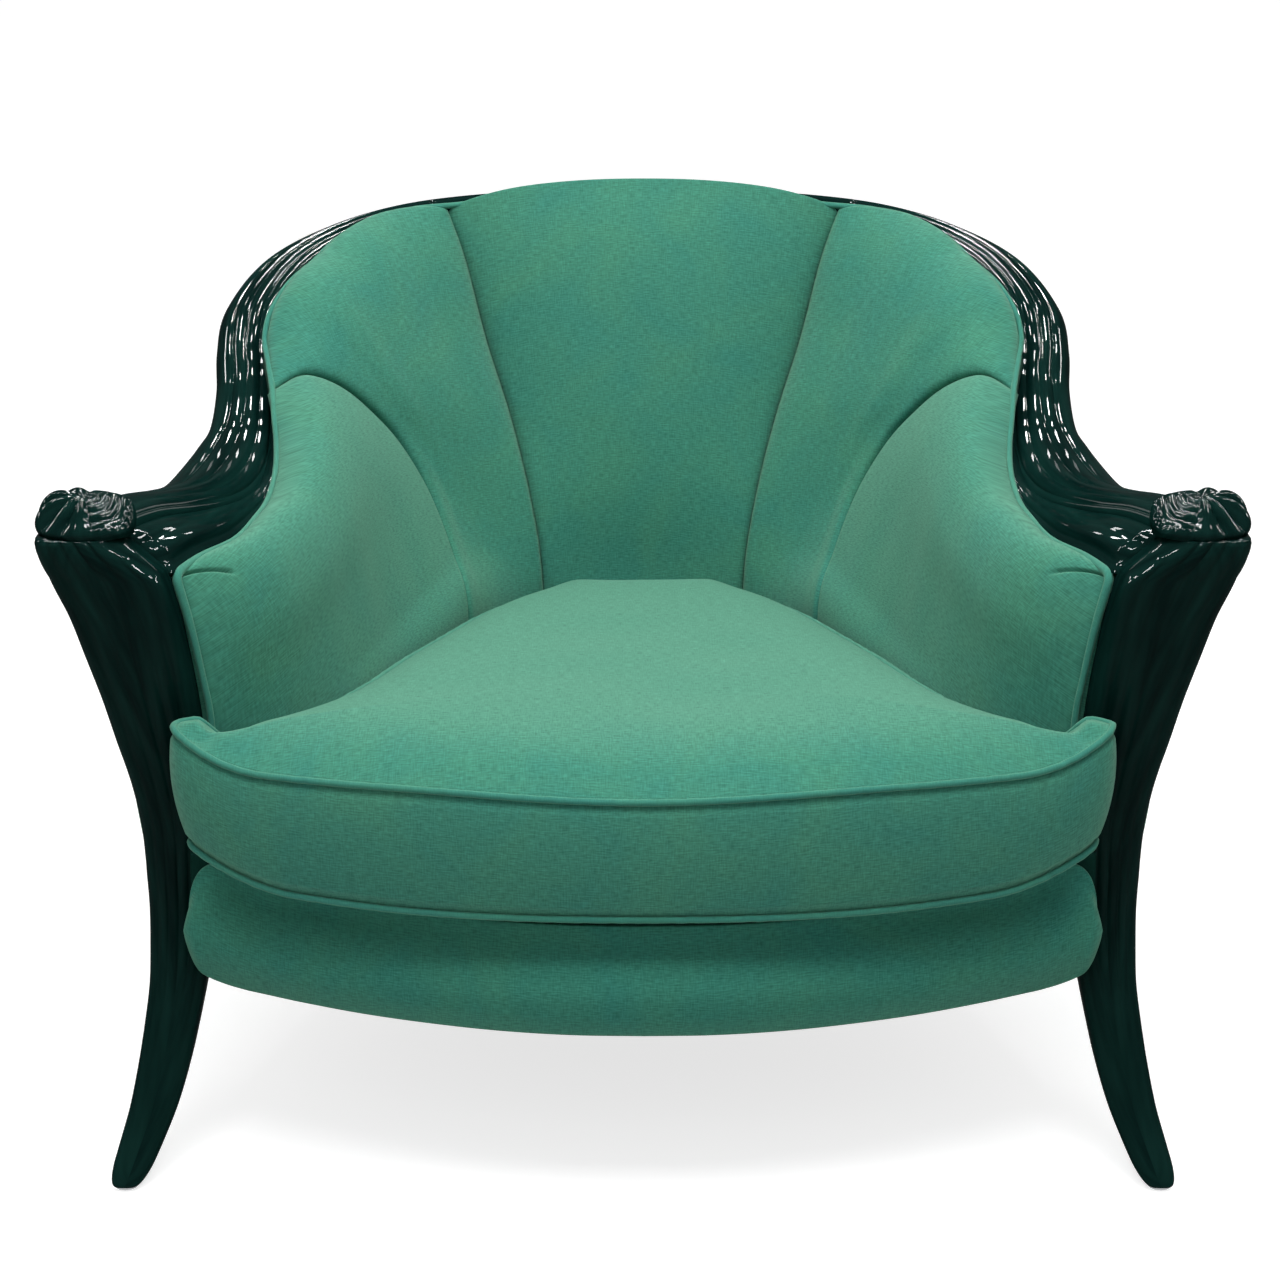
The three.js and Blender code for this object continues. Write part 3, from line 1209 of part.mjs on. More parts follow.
// Inside arms and back: five sewn channels
const armCrown = { height: ARM_CROWN, foot: 0.1, edge: 0.25, lift: 0.22 };
const sideCrown = { height: SIDE_CROWN, foot: 0.1, edge: 0.35, lift: 0.25 };
const centreCrown = { height: CENTRE_CROWN, foot: 0.1, edge: 0.62, lift: 0.38 };
const armPad = channel({
  left: seamFront,
  right: seamArm,
  low: pointCurve(foot.arm),
  high: pointCurve(edge.arm),
  turnLeft: OUT_FRONT_SHARE,
  turnRight: OUT_ARM_SHARE,
  baseLeft: PAD_BASE_RAIL,
  baseRight: PAD_BASE_RAIL,
  crown: armCrown,
}, 9, 8);
addPair('arm_pad', cut(armPad, [postCutter, railCutter, weltCutter, armStretcher(CLEAR)]), FABRIC);
const sideChannel = channel({
  left: seamArm,
  right: seamCentre,
  low: pointCurve(foot.side),
  high: pointCurve(edge.side),
  turnLeft: OUT_ARM_SHARE,
  turnRight: OUT_CENTRE_SHARE,
  baseLeft: PAD_BASE_RAIL,
  baseRight: PAD_BASE_CREST,
  crown: sideCrown,
}, 8, 8);
addPair('side_channel', cut(sideChannel, [railCutter, weltCutter, rearCutter]), FABRIC);
const centreEdge = pointCurve([...edge.centre, ...flip3(edge.centre)]);
const centreFoot = pointCurve([...foot.centre, ...flip3(foot.centre)]);
const centreChannel = channel({
  left: seamCentre,
  right: seamCentreLeft,
  low: centreFoot,
  high: centreEdge,
  turnLeft: OUT_CENTRE_SHARE,
  turnRight: 1 - OUT_CENTRE_SHARE,
  baseLeft: PAD_BASE_CREST,
  baseRight: PAD_BASE_CREST,
  crown: centreCrown,
}, 10, 8);
add('centre_channel', cut(centreChannel, [railCutter, railCutterLeft, weltCutter]), FABRIC);

// Apron
function apronBody() {
  const rings = [];
  const end = apronLength();
  for (let i = -APRON_STEPS; i <= APRON_STEPS; i += 1) {
    const f = apronStation(Math.abs(i));
    const left = (1 - f) * end;
    const round = Math.max(0, 1 - left / APRON_CORNER);
    const drop = APRON_CORNER * (1 - Math.sqrt(Math.max(0, 1 - round ** 2)));
    const bottom = APRON_BOTTOM_Z + drop;
    const top = APRON_BOTTOM_Z + APRON_HEIGHT - 1.25 * drop;
    const thick = mix(APRON_THICK, APRON_END_THICK, smooth((f - 0.78) / 0.2));
    rings.push(APRON_SECTION_SHARES.map(([across, rise, swell]) => {
      const p = apronPoint(f, across * thick - swell * APRON_CROWN);
      return V(i < 0 ? -p.x : p.x, p.y, mix(bottom, top, rise));
    }));
  }
  return loft(rings);
}
add('front_apron', cut(apronBody(), [postCutter, mirrored(postCutter)]), FABRIC_DEEP);

// Outside arms and back
const splitGap = 2 * gapShare;
const outsideArm = outsidePatch((s) => [mix(0, OUTSIDE_SPLIT_SHARE - splitGap, s), 1], 10, 4);
addPair('outside_arm', cut(outsideArm, [postCutter, railCutter]), FABRIC_DEEP);
const outsideBack = outsidePatch((s) => [
  mix(1, OUTSIDE_SPLIT_SHARE + splitGap, Math.abs(2 * s - 1)),
  s < 0.5 ? 1 : -1,
], 12, 4);
add('outside_back', cut(outsideBack, [railCutter, railCutterLeft]), FABRIC_DEEP);

// Loose cushion with its two welts
add('seat_cushion', cushionBody(), FABRIC);
add('cushion_welt_bottom', cushionWelt(0), WELTING);
add('cushion_welt_top', cushionWelt(1), WELTING);

// The chair stands on the floor with the middle of its plan at the origin.
const bounds = new THREE.Box3().setFromObject(chair);
chair.position.set(
  -(bounds.min.x + bounds.max.x) / 2,
  -(bounds.min.y + bounds.max.y) / 2,
  -bounds.min.z,
);
const scallopBackChair = new THREE.Group();
scallopBackChair.add(chair);
export default scallopBackChair;
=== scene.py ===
# %% [markdown]
# A scallop back lounge chair
#
# The chair is dressed here for pictures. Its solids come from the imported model, in metres, with +Z up and
# -Y towards the front of the seat. This file works out the smooth surfaces that a person sees: reeded and
# carved show wood under dark lacquer, a channelled back in sea-green velvet, and a loose piped cushion.
# Each surface is a function of two parameters, worked out as whole numpy arrays.

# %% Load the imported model
import bpy
import math
import json
import numpy as np
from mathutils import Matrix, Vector


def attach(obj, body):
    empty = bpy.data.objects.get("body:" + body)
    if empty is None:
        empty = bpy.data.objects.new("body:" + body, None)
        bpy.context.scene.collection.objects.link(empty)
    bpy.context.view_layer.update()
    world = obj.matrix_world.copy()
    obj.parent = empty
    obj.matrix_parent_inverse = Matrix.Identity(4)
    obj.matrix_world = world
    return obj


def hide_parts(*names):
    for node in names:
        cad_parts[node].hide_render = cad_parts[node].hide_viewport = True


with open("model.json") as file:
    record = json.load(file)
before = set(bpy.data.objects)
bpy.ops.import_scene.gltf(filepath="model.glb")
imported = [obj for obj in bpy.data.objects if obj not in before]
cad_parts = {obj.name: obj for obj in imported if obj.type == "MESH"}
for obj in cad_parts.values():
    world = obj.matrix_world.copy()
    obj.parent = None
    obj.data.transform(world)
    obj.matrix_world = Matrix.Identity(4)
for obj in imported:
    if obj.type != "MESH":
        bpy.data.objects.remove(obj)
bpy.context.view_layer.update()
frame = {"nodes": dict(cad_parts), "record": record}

# %% [markdown]
# Numbers first
#
# A chair maker draws full-size curves and reads points off them. The same curves are kept here as short
# tables of shares, and a smooth line is passed through the rows. Sizes are in millimetres until a mesh is
# made, because that is how the drawing is dimensioned.

# %% Sizes and smooth curves
MM = 0.001
SHIFT = np.array([0.0, 4.5, 3.3])        # from the drawing's origin to the frame's origin
HALF_WIDTH, SCROLL_Y, CREST_Y = 544.0, -305.0, 400.0
SCROLL_Z, CREST_Z, COVER_CREST_Z = 600.0, 786.0, 808.0
UP, FLIP = np.array([0.0, 0.0, 1.0]), np.array([-1.0, 1.0, 1.0])


def mix(a, b, s):
    """The value a share s of the way from a to b."""
    return a + (b - a) * s


def smooth(s):
    """An S-shaped step: 3 s^2 - 2 s^3 between 0 and 1, flat outside."""
    s = np.clip(s, 0.0, 1.0)
    return s * s * (3 - 2 * s)


def unit(v):
    """Vectors scaled to length one."""
    return v / np.maximum(np.linalg.norm(v, axis=-1, keepdims=True), 1e-12)


def valleys(phase, power):
    """0 on the ridges, 1 in the valleys at the whole numbers: 1 - |sin(pi * phase)|^power."""
    return 1 - np.abs(np.sin(np.pi * phase)) ** power


def travelled(points):
    """The distance along a line at each of its points."""
    return np.insert(np.cumsum(np.linalg.norm(np.diff(points, axis=0), axis=1)), 0, 0)


def spaced(points, count, closed=False):
    """The same line with its points at even distances. A closed line leaves out its repeated end."""
    length = travelled(points)
    at = np.linspace(0, length[-1], count, endpoint=not closed)
    return np.stack([np.interp(at, length, column) for column in points.T], axis=-1)


def row_curve(rows):
    """A curve through evenly spaced rows: on each span a cubic whose slope at a row is half the
    step between its two neighbours. The ends are carried on in a straight line."""
    rows = np.asarray(rows, float)
    n = len(rows) - 1
    padded = np.vstack([2 * rows[0] - rows[1], rows, 2 * rows[-1] - rows[-2]])

    def at(s):
        s = np.clip(np.asarray(s, float), 0.0, 1.0) * n
        k = np.minimum(n - 1, np.floor(s).astype(int))
        f = (s - k)[..., None]
        p, q, r, t = padded[k], padded[k + 1], padded[k + 2], padded[k + 3]
        cubic, square = -p + 3 * q - 3 * r + t, 2 * p - 5 * q + 4 * r - t
        return (cubic * f**3 + square * f**2 + (r - p) * f + 2 * q) / 2

    return at


def table_curve(rows):
    """The same curve, read at a value of the first column, which rises from row to row."""
    rows = np.asarray(rows, float)
    curve, n = row_curve(rows), len(rows) - 1

    def at(value):
        value = np.asarray(value, float)
        k = np.clip(np.searchsorted(rows[1:-1, 0], value, side="left"), 0, n - 1)
        f = np.clip((value - rows[k, 0]) / (rows[k + 1, 0] - rows[k, 0]), 0, 1)
        return curve((k + f) / n)[..., 1:]

    return at


print("a curve through 0, 1, 4 read in the middle:", row_curve([[0.0], [1.0], [4.0]])(0.5))

# %% [markdown]
# From a grid to a mesh
#
# Nearly every piece here is a stack of rings: a tube, a leg, a rail or a padded panel folded round to its
# back. One builder turns such a stack into quads, closes its ends, turns the faces outwards by the sign of
# the enclosed volume, and lays a map on it in metres, so that cloth threads keep their real size.

# %% Mesh builder
def signed_volume(points, quads):
    """Six times the volume: the sum of a . (b x c) over all triangles."""
    a, b, c, d = (points[quads[:, i]] for i in range(4))
    return (np.einsum("ij,ij->i", a, np.cross(b, c)) + np.einsum("ij,ij->i", a, np.cross(c, d))).sum()


def along_lengths(grid, axis):
    """Distance travelled over the grid along one axis, counted from the middle."""
    step = np.linalg.norm(np.diff(grid, axis=axis), axis=-1)
    total = np.insert(np.cumsum(step, axis=axis), 0, 0.0, axis=axis)
    middle = np.take(total, [total.shape[axis] // 2], axis=axis)
    return total - middle


def make_piece(name, parts):
    """One object from several parts. A part is (points, faces, face_map), with points in millimetres of
    the drawing, faces as rows of four indices and the map in millimetres."""
    points = np.vstack([p for p, _, _ in parts])
    shift = np.cumsum([0] + [len(p) for p, _, _ in parts[:-1]])
    faces = np.vstack([f + s for (_, f, _), s in zip(parts, shift)])
    maps = np.vstack([m.reshape(-1, 2) for _, _, m in parts])
    mesh = bpy.data.meshes.new(name)
    mesh.vertices.add(len(points))
    mesh.vertices.foreach_set("co", ((points + SHIFT) * MM).astype(np.float32).ravel())
    mesh.loops.add(faces.size)
    mesh.loops.foreach_set("vertex_index", faces.astype(np.int32).ravel())
    mesh.polygons.add(len(faces))
    mesh.polygons.foreach_set("loop_start", np.arange(0, faces.size, 4, dtype=np.int32))
    mesh.update(calc_edges=True)
    layer = mesh.uv_layers.new(name="cloth")
    layer.data.foreach_set("uv", (maps * MM).astype(np.float32).ravel())
    mesh.polygons.foreach_set("use_smooth", np.ones(len(faces), bool))
    mesh.validate()
    piece = bpy.data.objects.new(name, mesh)
    bpy.context.scene.collection.objects.link(piece)
    return piece


def stack(rings, closed=False, caps=True, flip_map=False):
    """Quads between neighbouring rings; each ring is joined round to its start. Open stacks get a fan of
    narrow quads to the middle of each end ring. The map runs round the rings first and then along them,
    or the other way with flip_map."""
    rings = np.asarray(rings, float)
    n, m = rings.shape[:2]
    wrapped = np.concatenate([rings, rings[:, :1]], axis=1)
    body = np.concatenate([wrapped, wrapped[:1]], axis=0) if closed else wrapped
    u, v = along_lengths(body, 1), along_lengths(body, 0)
    if flip_map:
        u, v = v, u
    rows = n if closed else n - 1
    i, j = np.meshgrid(np.arange(rows), np.arange(m), indexing="ij")
    i, j = i.ravel(), j.ravel()
    nxt, k = (i + 1) % n, (j + 1) % m
    faces = np.stack([i * m + j, i * m + k, nxt * m + k, nxt * m + j], axis=1)
    cells = [(i, j), (i, j + 1), (i + 1, j + 1), (i + 1, j)]
    cloth = np.stack([np.stack([u[a, b], v[a, b]], axis=-1) for a, b in cells], axis=1)
    points = rings.reshape(-1, 3)
    if not closed and caps:
        for row in (0, n - 1):
            middle = len(points)
            points = np.vstack([points, rings[row].mean(axis=0)])
            half = np.arange(0, m - m % 2, 2)
            a, b, c = half, (half + 1) % m, (half + 2) % m
            fan = np.stack([np.full_like(a, middle), row * m + a, row * m + b, row * m + c], axis=1)
            if row == 0:
                fan = fan[:, [0, 3, 2, 1]]
            faces = np.vstack([faces, fan])
            cloth = np.vstack([cloth, np.zeros((len(fan), 4, 2))])
    if signed_volume(points, faces) < 0:
        faces, cloth = faces[:, ::-1], cloth[:, ::-1]
    return points, faces, cloth


def mirror(part):
    """The same part on the other side of the chair, its faces turned back outwards."""
    points, faces, cloth = part
    return points * FLIP, faces[:, ::-1], cloth[:, ::-1]


SIDES = (("right", lambda part: part), ("left", mirror))


def level_weave(part):
    """The part with its weave laid level: u = 450 mm * angle round the seat's middle, v = height + 0.4 *
    distance from the middle, so that the threads run level and upright on every channel."""
    points, faces, cloth = part
    x, y, z = points.T
    level = np.stack([450.0 * np.arctan2(x, y + 100.0), z + 0.4 * np.hypot(x, y + 100.0)], axis=-1)
    return points, faces, level[faces]


def folded(front, back):
    """A panel with thickness: each row runs over the front and returns over the back."""
    return np.concatenate([front, back[:, ::-1]], axis=1)


def build(name, parts, finish, body, *nodes):
    """Make a piece with the material of its finish, hang it from the empty of the body it rides on, and hide
    the solids it replaces."""
    material, slot = finish
    piece = make_piece(name, parts)
    print(f"{name}: {len(piece.data.polygons) * 2} triangles")
    piece.data.materials.append(material)
    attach(piece, body)
    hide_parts(*nodes)
    return piece


def padded_piece(name, part, finish, body, replaced):
    """A padded piece, made like any other piece."""
    piece = build(name, [part], finish, body, replaced)
    return piece


# %% [markdown]
# Materials as node trees
#
# A finish in Blender is a small graph: places on the object go into noises, noises into colours and bumps,
# and these into the shader. The same few moves come back in every finish, so each gets a short function
# that takes the tree and hands back a socket.

# %% Node helpers
def plug(tree, socket, value):
    """Link a socket to another one, or write a value into it."""
    if isinstance(value, bpy.types.NodeSocket):
        tree.links.new(value, socket)
    else:
        socket.default_value = value


def feed(tree, made, values):
    """Set what a node is given by name: its inputs, or its properties where no input has that name."""
    for title, value in values.items():
        if title in made.inputs:
            plug(tree, made.inputs[title], value)
        else:
            setattr(made, title, value)
    return made


def node(tree, kind, **values):
    """A node with its named inputs and properties set."""
    return feed(tree, tree.nodes.new(kind), values)


def new_material(name):
    """A new material with its tree and its Principled shader."""
    material = bpy.data.materials.new(name)
    material.use_nodes = True
    tree = material.node_tree
    return material, tree, tree.nodes["Principled BSDF"]


def maths(tree, operation, *terms):
    """The result of a Math node whose terms are numbers or sockets."""
    made = node(tree, "ShaderNodeMath", operation=operation)
    for socket, value in zip(made.inputs, terms):
        plug(tree, socket, value)
    return made.outputs[0]


def mix_colour(tree, factor, first, second, blend="MIX"):
    """A colour mix whose two ends are colours or sockets."""
    made = tree.nodes.new("ShaderNodeMix")
    made.data_type, made.blend_type, made.clamp_factor = "RGBA", blend, True
    for place, value in ((0, factor), (6, first), (7, second)):
        plug(tree, made.inputs[place], value)
    return made.outputs[2]


def new_group(name, inputs, outputs):
    """A shader node group with named inputs and outputs: its tree and its two end nodes."""
    group = bpy.data.node_groups.new(name, "ShaderNodeTree")
    for title, value in inputs.items():
        socket = group.interface.new_socket(title, in_out="INPUT", socket_type="NodeSocketFloat")
        socket.default_value = value
    for title in outputs:
        group.interface.new_socket(title, in_out="OUTPUT", socket_type="NodeSocketFloat")
    return group, group.nodes.new("NodeGroupInput").outputs, group.nodes.new("NodeGroupOutput")


def use_group(tree, group, values):
    """The outputs of a group node whose inputs are set by name."""
    made = tree.nodes.new("ShaderNodeGroup")
    made.node_tree = group
    return feed(tree, made, values).outputs


def ramp(tree, source, stops):
    """A colour ramp over a socket: stops are (place, grey)."""
    made = tree.nodes.new("ShaderNodeValToRGB")
    while len(made.color_ramp.elements) < len(stops):
        made.color_ramp.elements.new(0.5)
    for element, (place, grey) in zip(made.color_ramp.elements, stops):
        element.position, element.color = place, (grey, grey, grey, 1)
    tree.links.new(source, made.inputs[0])
    return made.outputs[0]


def stretched(tree, vector, scale):
    """A vector scaled differently each way, so that a noise read at it is drawn out."""
    return node(tree, "ShaderNodeMapping", Vector=vector, Scale=scale).outputs["Vector"]


def noise(tree, vector, **values):
    """The grey of a noise texture read at a vector."""
    return node(tree, "ShaderNodeTexNoise", **values, Vector=vector).outputs["Fac"]


def bumped(tree, shader, height, strength, distance, titles=("Normal",)):
    """Bend the shader's normals as if the surface rose by a distance where the height is 1."""
    bump = node(tree, "ShaderNodeBump", Strength=strength, Distance=distance, Height=height)
    feed(tree, shader, {title: bump.outputs["Normal"] for title in titles})


def rgb(r, g, b):
    """A colour written in screen values from 0 to 255, as linear light."""
    c = np.array([r, g, b]) / 255.0
    c = np.where(c <= 0.04045, c / 12.92, ((c + 0.055) / 1.055) ** 2.4)
    return (float(c[0]), float(c[1]), float(c[2]), 1.0)


print("bottle green in linear light:", [round(v, 4) for v in rgb(16, 38, 34)])

# %% [markdown]
# Lacquer
#
# The show wood is sprayed with many coats of dark bottle-green lacquer and polished, so it is almost black
# face on and mirrors the lamps as crisp white dashes. A dark stain under a thin clear coat gives that. The
# stain is drawn out into faint paler streaks along each piece, partly its own unevenness and partly painted
# sheen, the soft glow of the lamps along the posts. The coat is very slightly wavy, from sanding between coats.

# %% Lacquer material
def lacquer_material():
    """Near-black green under a glassy coat. The coat's small weight keeps the pale floor out of it and
    lets only the lamps show, and a slow wave in it bends the reflections a little."""
    material, tree, shader = new_material("bottle_green_lacquer")
    place = node(tree, "ShaderNodeTexCoord").outputs
    drawn = stretched(tree, place["UV"], (1.0, 0.12, 1.0))
    # Stain streaks and the mask made from them: partly the stain's own unevenness, partly painted sheen standing
    # in for the lamps' soft glow.
    stain_and_sheen_streaks = noise(tree, drawn, Scale=55.0, Detail=3.0, Roughness=0.55)
    depth = ramp(tree, stain_and_sheen_streaks, [(0.35, 0.0), (0.70, 1.0)])
    haze = noise(tree, place["Object"], Scale=60.0, Detail=4.0, Roughness=0.6)
    spread = node(tree, "ShaderNodeMapRange", **{"Value": haze, "To Min": 0.01, "To Max": 0.04})
    wave = noise(tree, place["Object"], Scale=38.0, Detail=1.5, Roughness=0.4)
    bumped(tree, shader, wave, 0.10, 0.0006, ("Normal", "Coat Normal"))
    feed(tree, shader, {
        "Base Color": mix_colour(tree, depth, rgb(3, 22, 20), rgb(12, 40, 36)),
        "Roughness": 0.6, "Specular IOR Level": 0.0,
        "Coat Weight": 0.03, "Coat IOR": 1.5, "Coat Roughness": spread.outputs["Result"],
    })
    return material


lacquer = lacquer_material()
WOOD = (lacquer, "lacquer")
print("made", lacquer.name)

# %% [markdown]
# Velvet with a slub
#
# The cover is a short-pile velvet woven on an uneven yarn: thicker threads show as short streaks along and
# across the cloth. The map is in metres, so the streaks keep their real width of about one to two
# millimetres. One group makes the weave for each of the three velvets, and another makes the broad warm and
# cool patches that brushing leaves in a pile.

# %% Weave group
THREAD_STRETCHES = ((1.0, 0.14, 1.0), (0.14, 1.0, 1.0))
SECOND_SHARE = 0.65              # how strongly the streaks across count against those along


def weave_group():
    """Streaks: 0.65 of a noise stretched seven times one way plus one stretched seven times the other,
    with a fine grain. Its output 'Shade' is around 0.5, and 'Height' drives the bump."""
    tree, given, result = new_group("slub_weave", {"Thread Width": 0.0014, "Streak": 0.5}, ["Shade", "Height"])
    cloth = node(tree, "ShaderNodeUVMap", uv_map="cloth").outputs["UV"]
    per_metre = maths(tree, "DIVIDE", 1.0, given["Thread Width"])
    first, second = (noise(tree, stretched(tree, cloth, stretch), noise_dimensions="2D", Scale=per_metre,
                           Detail=1.2, Roughness=0.5) for stretch in THREAD_STRETCHES)
    both = maths(tree, "MULTIPLY_ADD", first, SECOND_SHARE, second)
    centred = maths(tree, "SUBTRACT", both, (1 + SECOND_SHARE) / 2)
    fine = noise(tree, cloth, noise_dimensions="2D", Scale=1500.0, Detail=1.0, Roughness=0.5)
    feed(tree, result, {"Shade": maths(tree, "MULTIPLY_ADD", centred, given["Streak"], 0.5),
                        "Height": maths(tree, "MULTIPLY_ADD", fine, 0.15, both)})
    return tree


def patch_group():
    """Broad soft patches on Object coordinates, 0 cool to 1 warm."""
    tree, given, result = new_group("brushed_patches", {"Scale": 7.0}, ["Warmth"])
    place = node(tree, "ShaderNodeTexCoord").outputs["Object"]
    clouds = noise(tree, place, Scale=given["Scale"], Detail=4.0, Roughness=0.55, Distortion=0.6)
    feed(tree, result, {"Warmth": ramp(tree, clouds, [(0.32, 0.0), (0.68, 1.0)])})
    return tree


slub_weave, brushed_patches = weave_group(), patch_group()
print("groups:", slub_weave.name, brushed_patches.name)

# %% [markdown]
# Three velvets
#
# A pile looks darkest where the eye looks straight into it and paler at a slant. That sheen is painted into the
# colour: painted sheen, from a sea green to a paler one as the surface turns away. The outside is a little darker,
# as it is less brushed, and the piping has finer streaks, because its cloth is drawn tight over a cord.

# %% Velvet materials
def velvet(name, cool, warm, painted_sheen_colour, streak=0.34, thread=0.0013):
    """A cloth: patches choose between two colours, a painted sheen turns it paler where the eye grazes it, up to
    facing 0.72, and the weave lightens and darkens the result."""
    material, tree, shader = new_material(name)
    warmth = use_group(tree, brushed_patches, {"Scale": 11.0})["Warmth"]
    weave = use_group(tree, slub_weave, {"Thread Width": thread, "Streak": streak})
    facing = node(tree, "ShaderNodeLayerWeight", Blend=0.5).outputs["Facing"]
    # Painted sheen: a mask from 0 face on to 1 at facing 0.72, which mixes in the paler colour.
    painted_sheen_mask = ramp(tree, facing, [(0.25, 0.0), (0.72, 1.0)])
    colour_with_painted_sheen = mix_colour(tree, painted_sheen_mask, mix_colour(tree, warmth, cool, warm), painted_sheen_colour)
    bumped(tree, shader, weave["Height"], 0.30, 0.0003)
    feed(tree, shader, {
        "Base Color": mix_colour(tree, 1.0, colour_with_painted_sheen, weave["Shade"], blend="OVERLAY"),
        "Roughness": 0.9, "Specular IOR Level": 0.0,
        "Sheen Weight": 0.10, "Sheen Roughness": 0.5, "Sheen Tint": (0.78, 1.0, 0.88, 1.0),
    })
    return material


# The third colour of each velvet is its painted sheen, the paler green seen at a slant.
cover = velvet("sea_green_velvet", rgb(58, 121, 106), rgb(67, 127, 105), rgb(83, 136, 115))
outside = velvet("outside_velvet", rgb(53, 120, 106), rgb(61, 125, 105), rgb(78, 132, 111))
piping = velvet("piping_velvet", rgb(57, 122, 109), rgb(64, 127, 108), rgb(80, 134, 114), 0.15, 0.0010)
COVER, OUTSIDE, CORD = (cover, "cover"), (outside, "cover_outside"), (piping, "welting")
print("made", cover.name, outside.name, piping.name)

# %% [markdown]
# The arm rail
#
# A carver bends the rail in two directions and then runs reeds along it: rounded ridges with sharp valleys
# between them. Here the rail's centre line is a curve in space, and a section is carried along it. The
# reeds are |sin| waves over the section, and they die out towards the carved end.

# %% The rail's line
RAIL_LINE_SHARES = [
    [0.930, 0.000, 0.000], [0.886, 0.113, -0.040], [0.848, 0.199, -0.097], [0.814, 0.278, -0.140],
    [0.791, 0.349, -0.154], [0.774, 0.426, -0.128], [0.763, 0.496, -0.066], [0.758, 0.553, 0.014],
    [0.763, 0.631, 0.174], [0.771, 0.695, 0.346], [0.759, 0.755, 0.530], [0.701, 0.823, 0.727],
    [0.606, 0.882, 0.857], [0.486, 0.933, 0.939], [0.346, 0.970, 0.977], [0.183, 0.991, 0.993],
    [0.000, 1.000, 1.000],
]
RAIL_WIDTH_SHARES = [
    [0.95], [0.95], [1.07], [1.20], [1.33], [1.34], [1.18], [0.98],
    [0.88], [0.88], [0.96], [1.03], [0.98], [0.86], [0.79], [0.75], [0.75],
]
RAIL_WIDTH, RAIL_THICK, REED_DEPTH, REED_COUNT = 72.0, 44.0, 3.2, 5
rail_row, rail_width_share = row_curve(RAIL_LINE_SHARES), row_curve(RAIL_WIDTH_SHARES)


def rail_point(t):
    """The centre line at t, from the carved end at 0 to the crest's middle at 1 and on to the far side."""
    t = np.asarray(t, float)
    row = rail_row(np.where(t > 1, 2 - t, t))
    side = np.where(t > 1, -1.0, 1.0)
    return np.stack([
        side * HALF_WIDTH * row[..., 0],
        mix(SCROLL_Y, CREST_Y, row[..., 1]),
        mix(SCROLL_Z, CREST_Z, row[..., 2]),
    ], axis=-1)


def rail_frame(t):
    """Centre, up and out directions and the width at t."""
    t = np.asarray(t, float)
    step = 1 / (16 * len(RAIL_LINE_SHARES))
    at = rail_point(t)
    along = unit(rail_point(t + step) - rail_point(np.maximum(0, t - step)))
    up = unit(UP - along * along[..., 2:3])
    out = np.cross(along, up)
    return at, up, out, RAIL_WIDTH * rail_width_share(np.where(t > 1, 2 - t, t))[..., 0]


print("rail at the elbow:", rail_point(0.3).round(1))

# %% Rail body
SECTION_START, SECTION_END = -0.05, 1.14     # the reeded top, in half turns from the outer side
PLAIN_SHARE = 0.34                           # the outer band has no reeds
UNDER_SHARES = [[-0.36, -0.52], [0.10, -0.54], [0.40, -0.40]]
TOP_COUNT, UNDER_COUNT = 130, 20             # points of a ring over the top and under the rail


def reed_valley(q):
    """0 on a reed's crest, 1 in the valley between two reeds, counted over the reeded part."""
    r = np.clip((q - PLAIN_SHARE) / (1 - PLAIN_SHARE), 0, 1)
    return np.where(q > PLAIN_SHARE, valleys(REED_COUNT * r, 0.7), np.exp((q - PLAIN_SHARE) / 0.02))


def rail_body(start, end, stations, fade=True):
    """Rings along the rail. Over the top a ring is an ellipse cut back by the reeds' valleys:
    radius = half size - depth * valley(q); under it runs a plain flat."""
    t = np.linspace(start, end, stations)[:, None]
    at, up, out, width = rail_frame(t[:, 0])
    q = np.linspace(0, 1, TOP_COUNT)[None, :]
    angle = np.pi * mix(SECTION_START, SECTION_END, q)
    grow_in = mix(0.22, 1.0, smooth((t - 0.10) / 0.16)) if fade else np.ones_like(t)
    depth = REED_DEPTH * grow_in * reed_valley(q)
    a = width[:, None] / 2 - depth
    b = RAIL_THICK / 2 - depth
    lower = np.where(np.sin(angle) < 0, 2.0, 1.0)
    across, rise = a * np.cos(angle), b * lower * np.sin(angle)
    first, last = ([across[0, end] / width[0], rise[0, end] / RAIL_THICK] for end in (0, -1))
    under = row_curve([last, *UNDER_SHARES, first])(np.linspace(0, 1, UNDER_COUNT + 2)[1:-1])
    across = np.concatenate([across, under[None, :, 0] * width[:, None]], axis=1)
    flat = np.broadcast_to(under[None, :, 1] * RAIL_THICK, (stations, UNDER_COUNT))
    rise = np.concatenate([rise, flat], axis=1)
    return at[:, None] + across[..., None] * out[:, None] + rise[..., None] * up[:, None]


CREST_JOINT, JOINT_GAP = 0.84, 0.0002        # where the arm rail meets the crest rail
arm_rings = rail_body(0.0, CREST_JOINT - JOINT_GAP, 280)
print("arm rail grid:", arm_rings.shape)

# %% [markdown]
# The carved end
#
# Each arm ends in a domed oval like half a scallop and half a flower: on the outer and front side plump
# lobes run from a small eye over the edge, and on the inner side thin crescents nest round the same eye.
# The dome is a turned profile, and both kinds of carving are waves in the angle and in the distance from
# the eye, faded into each other.

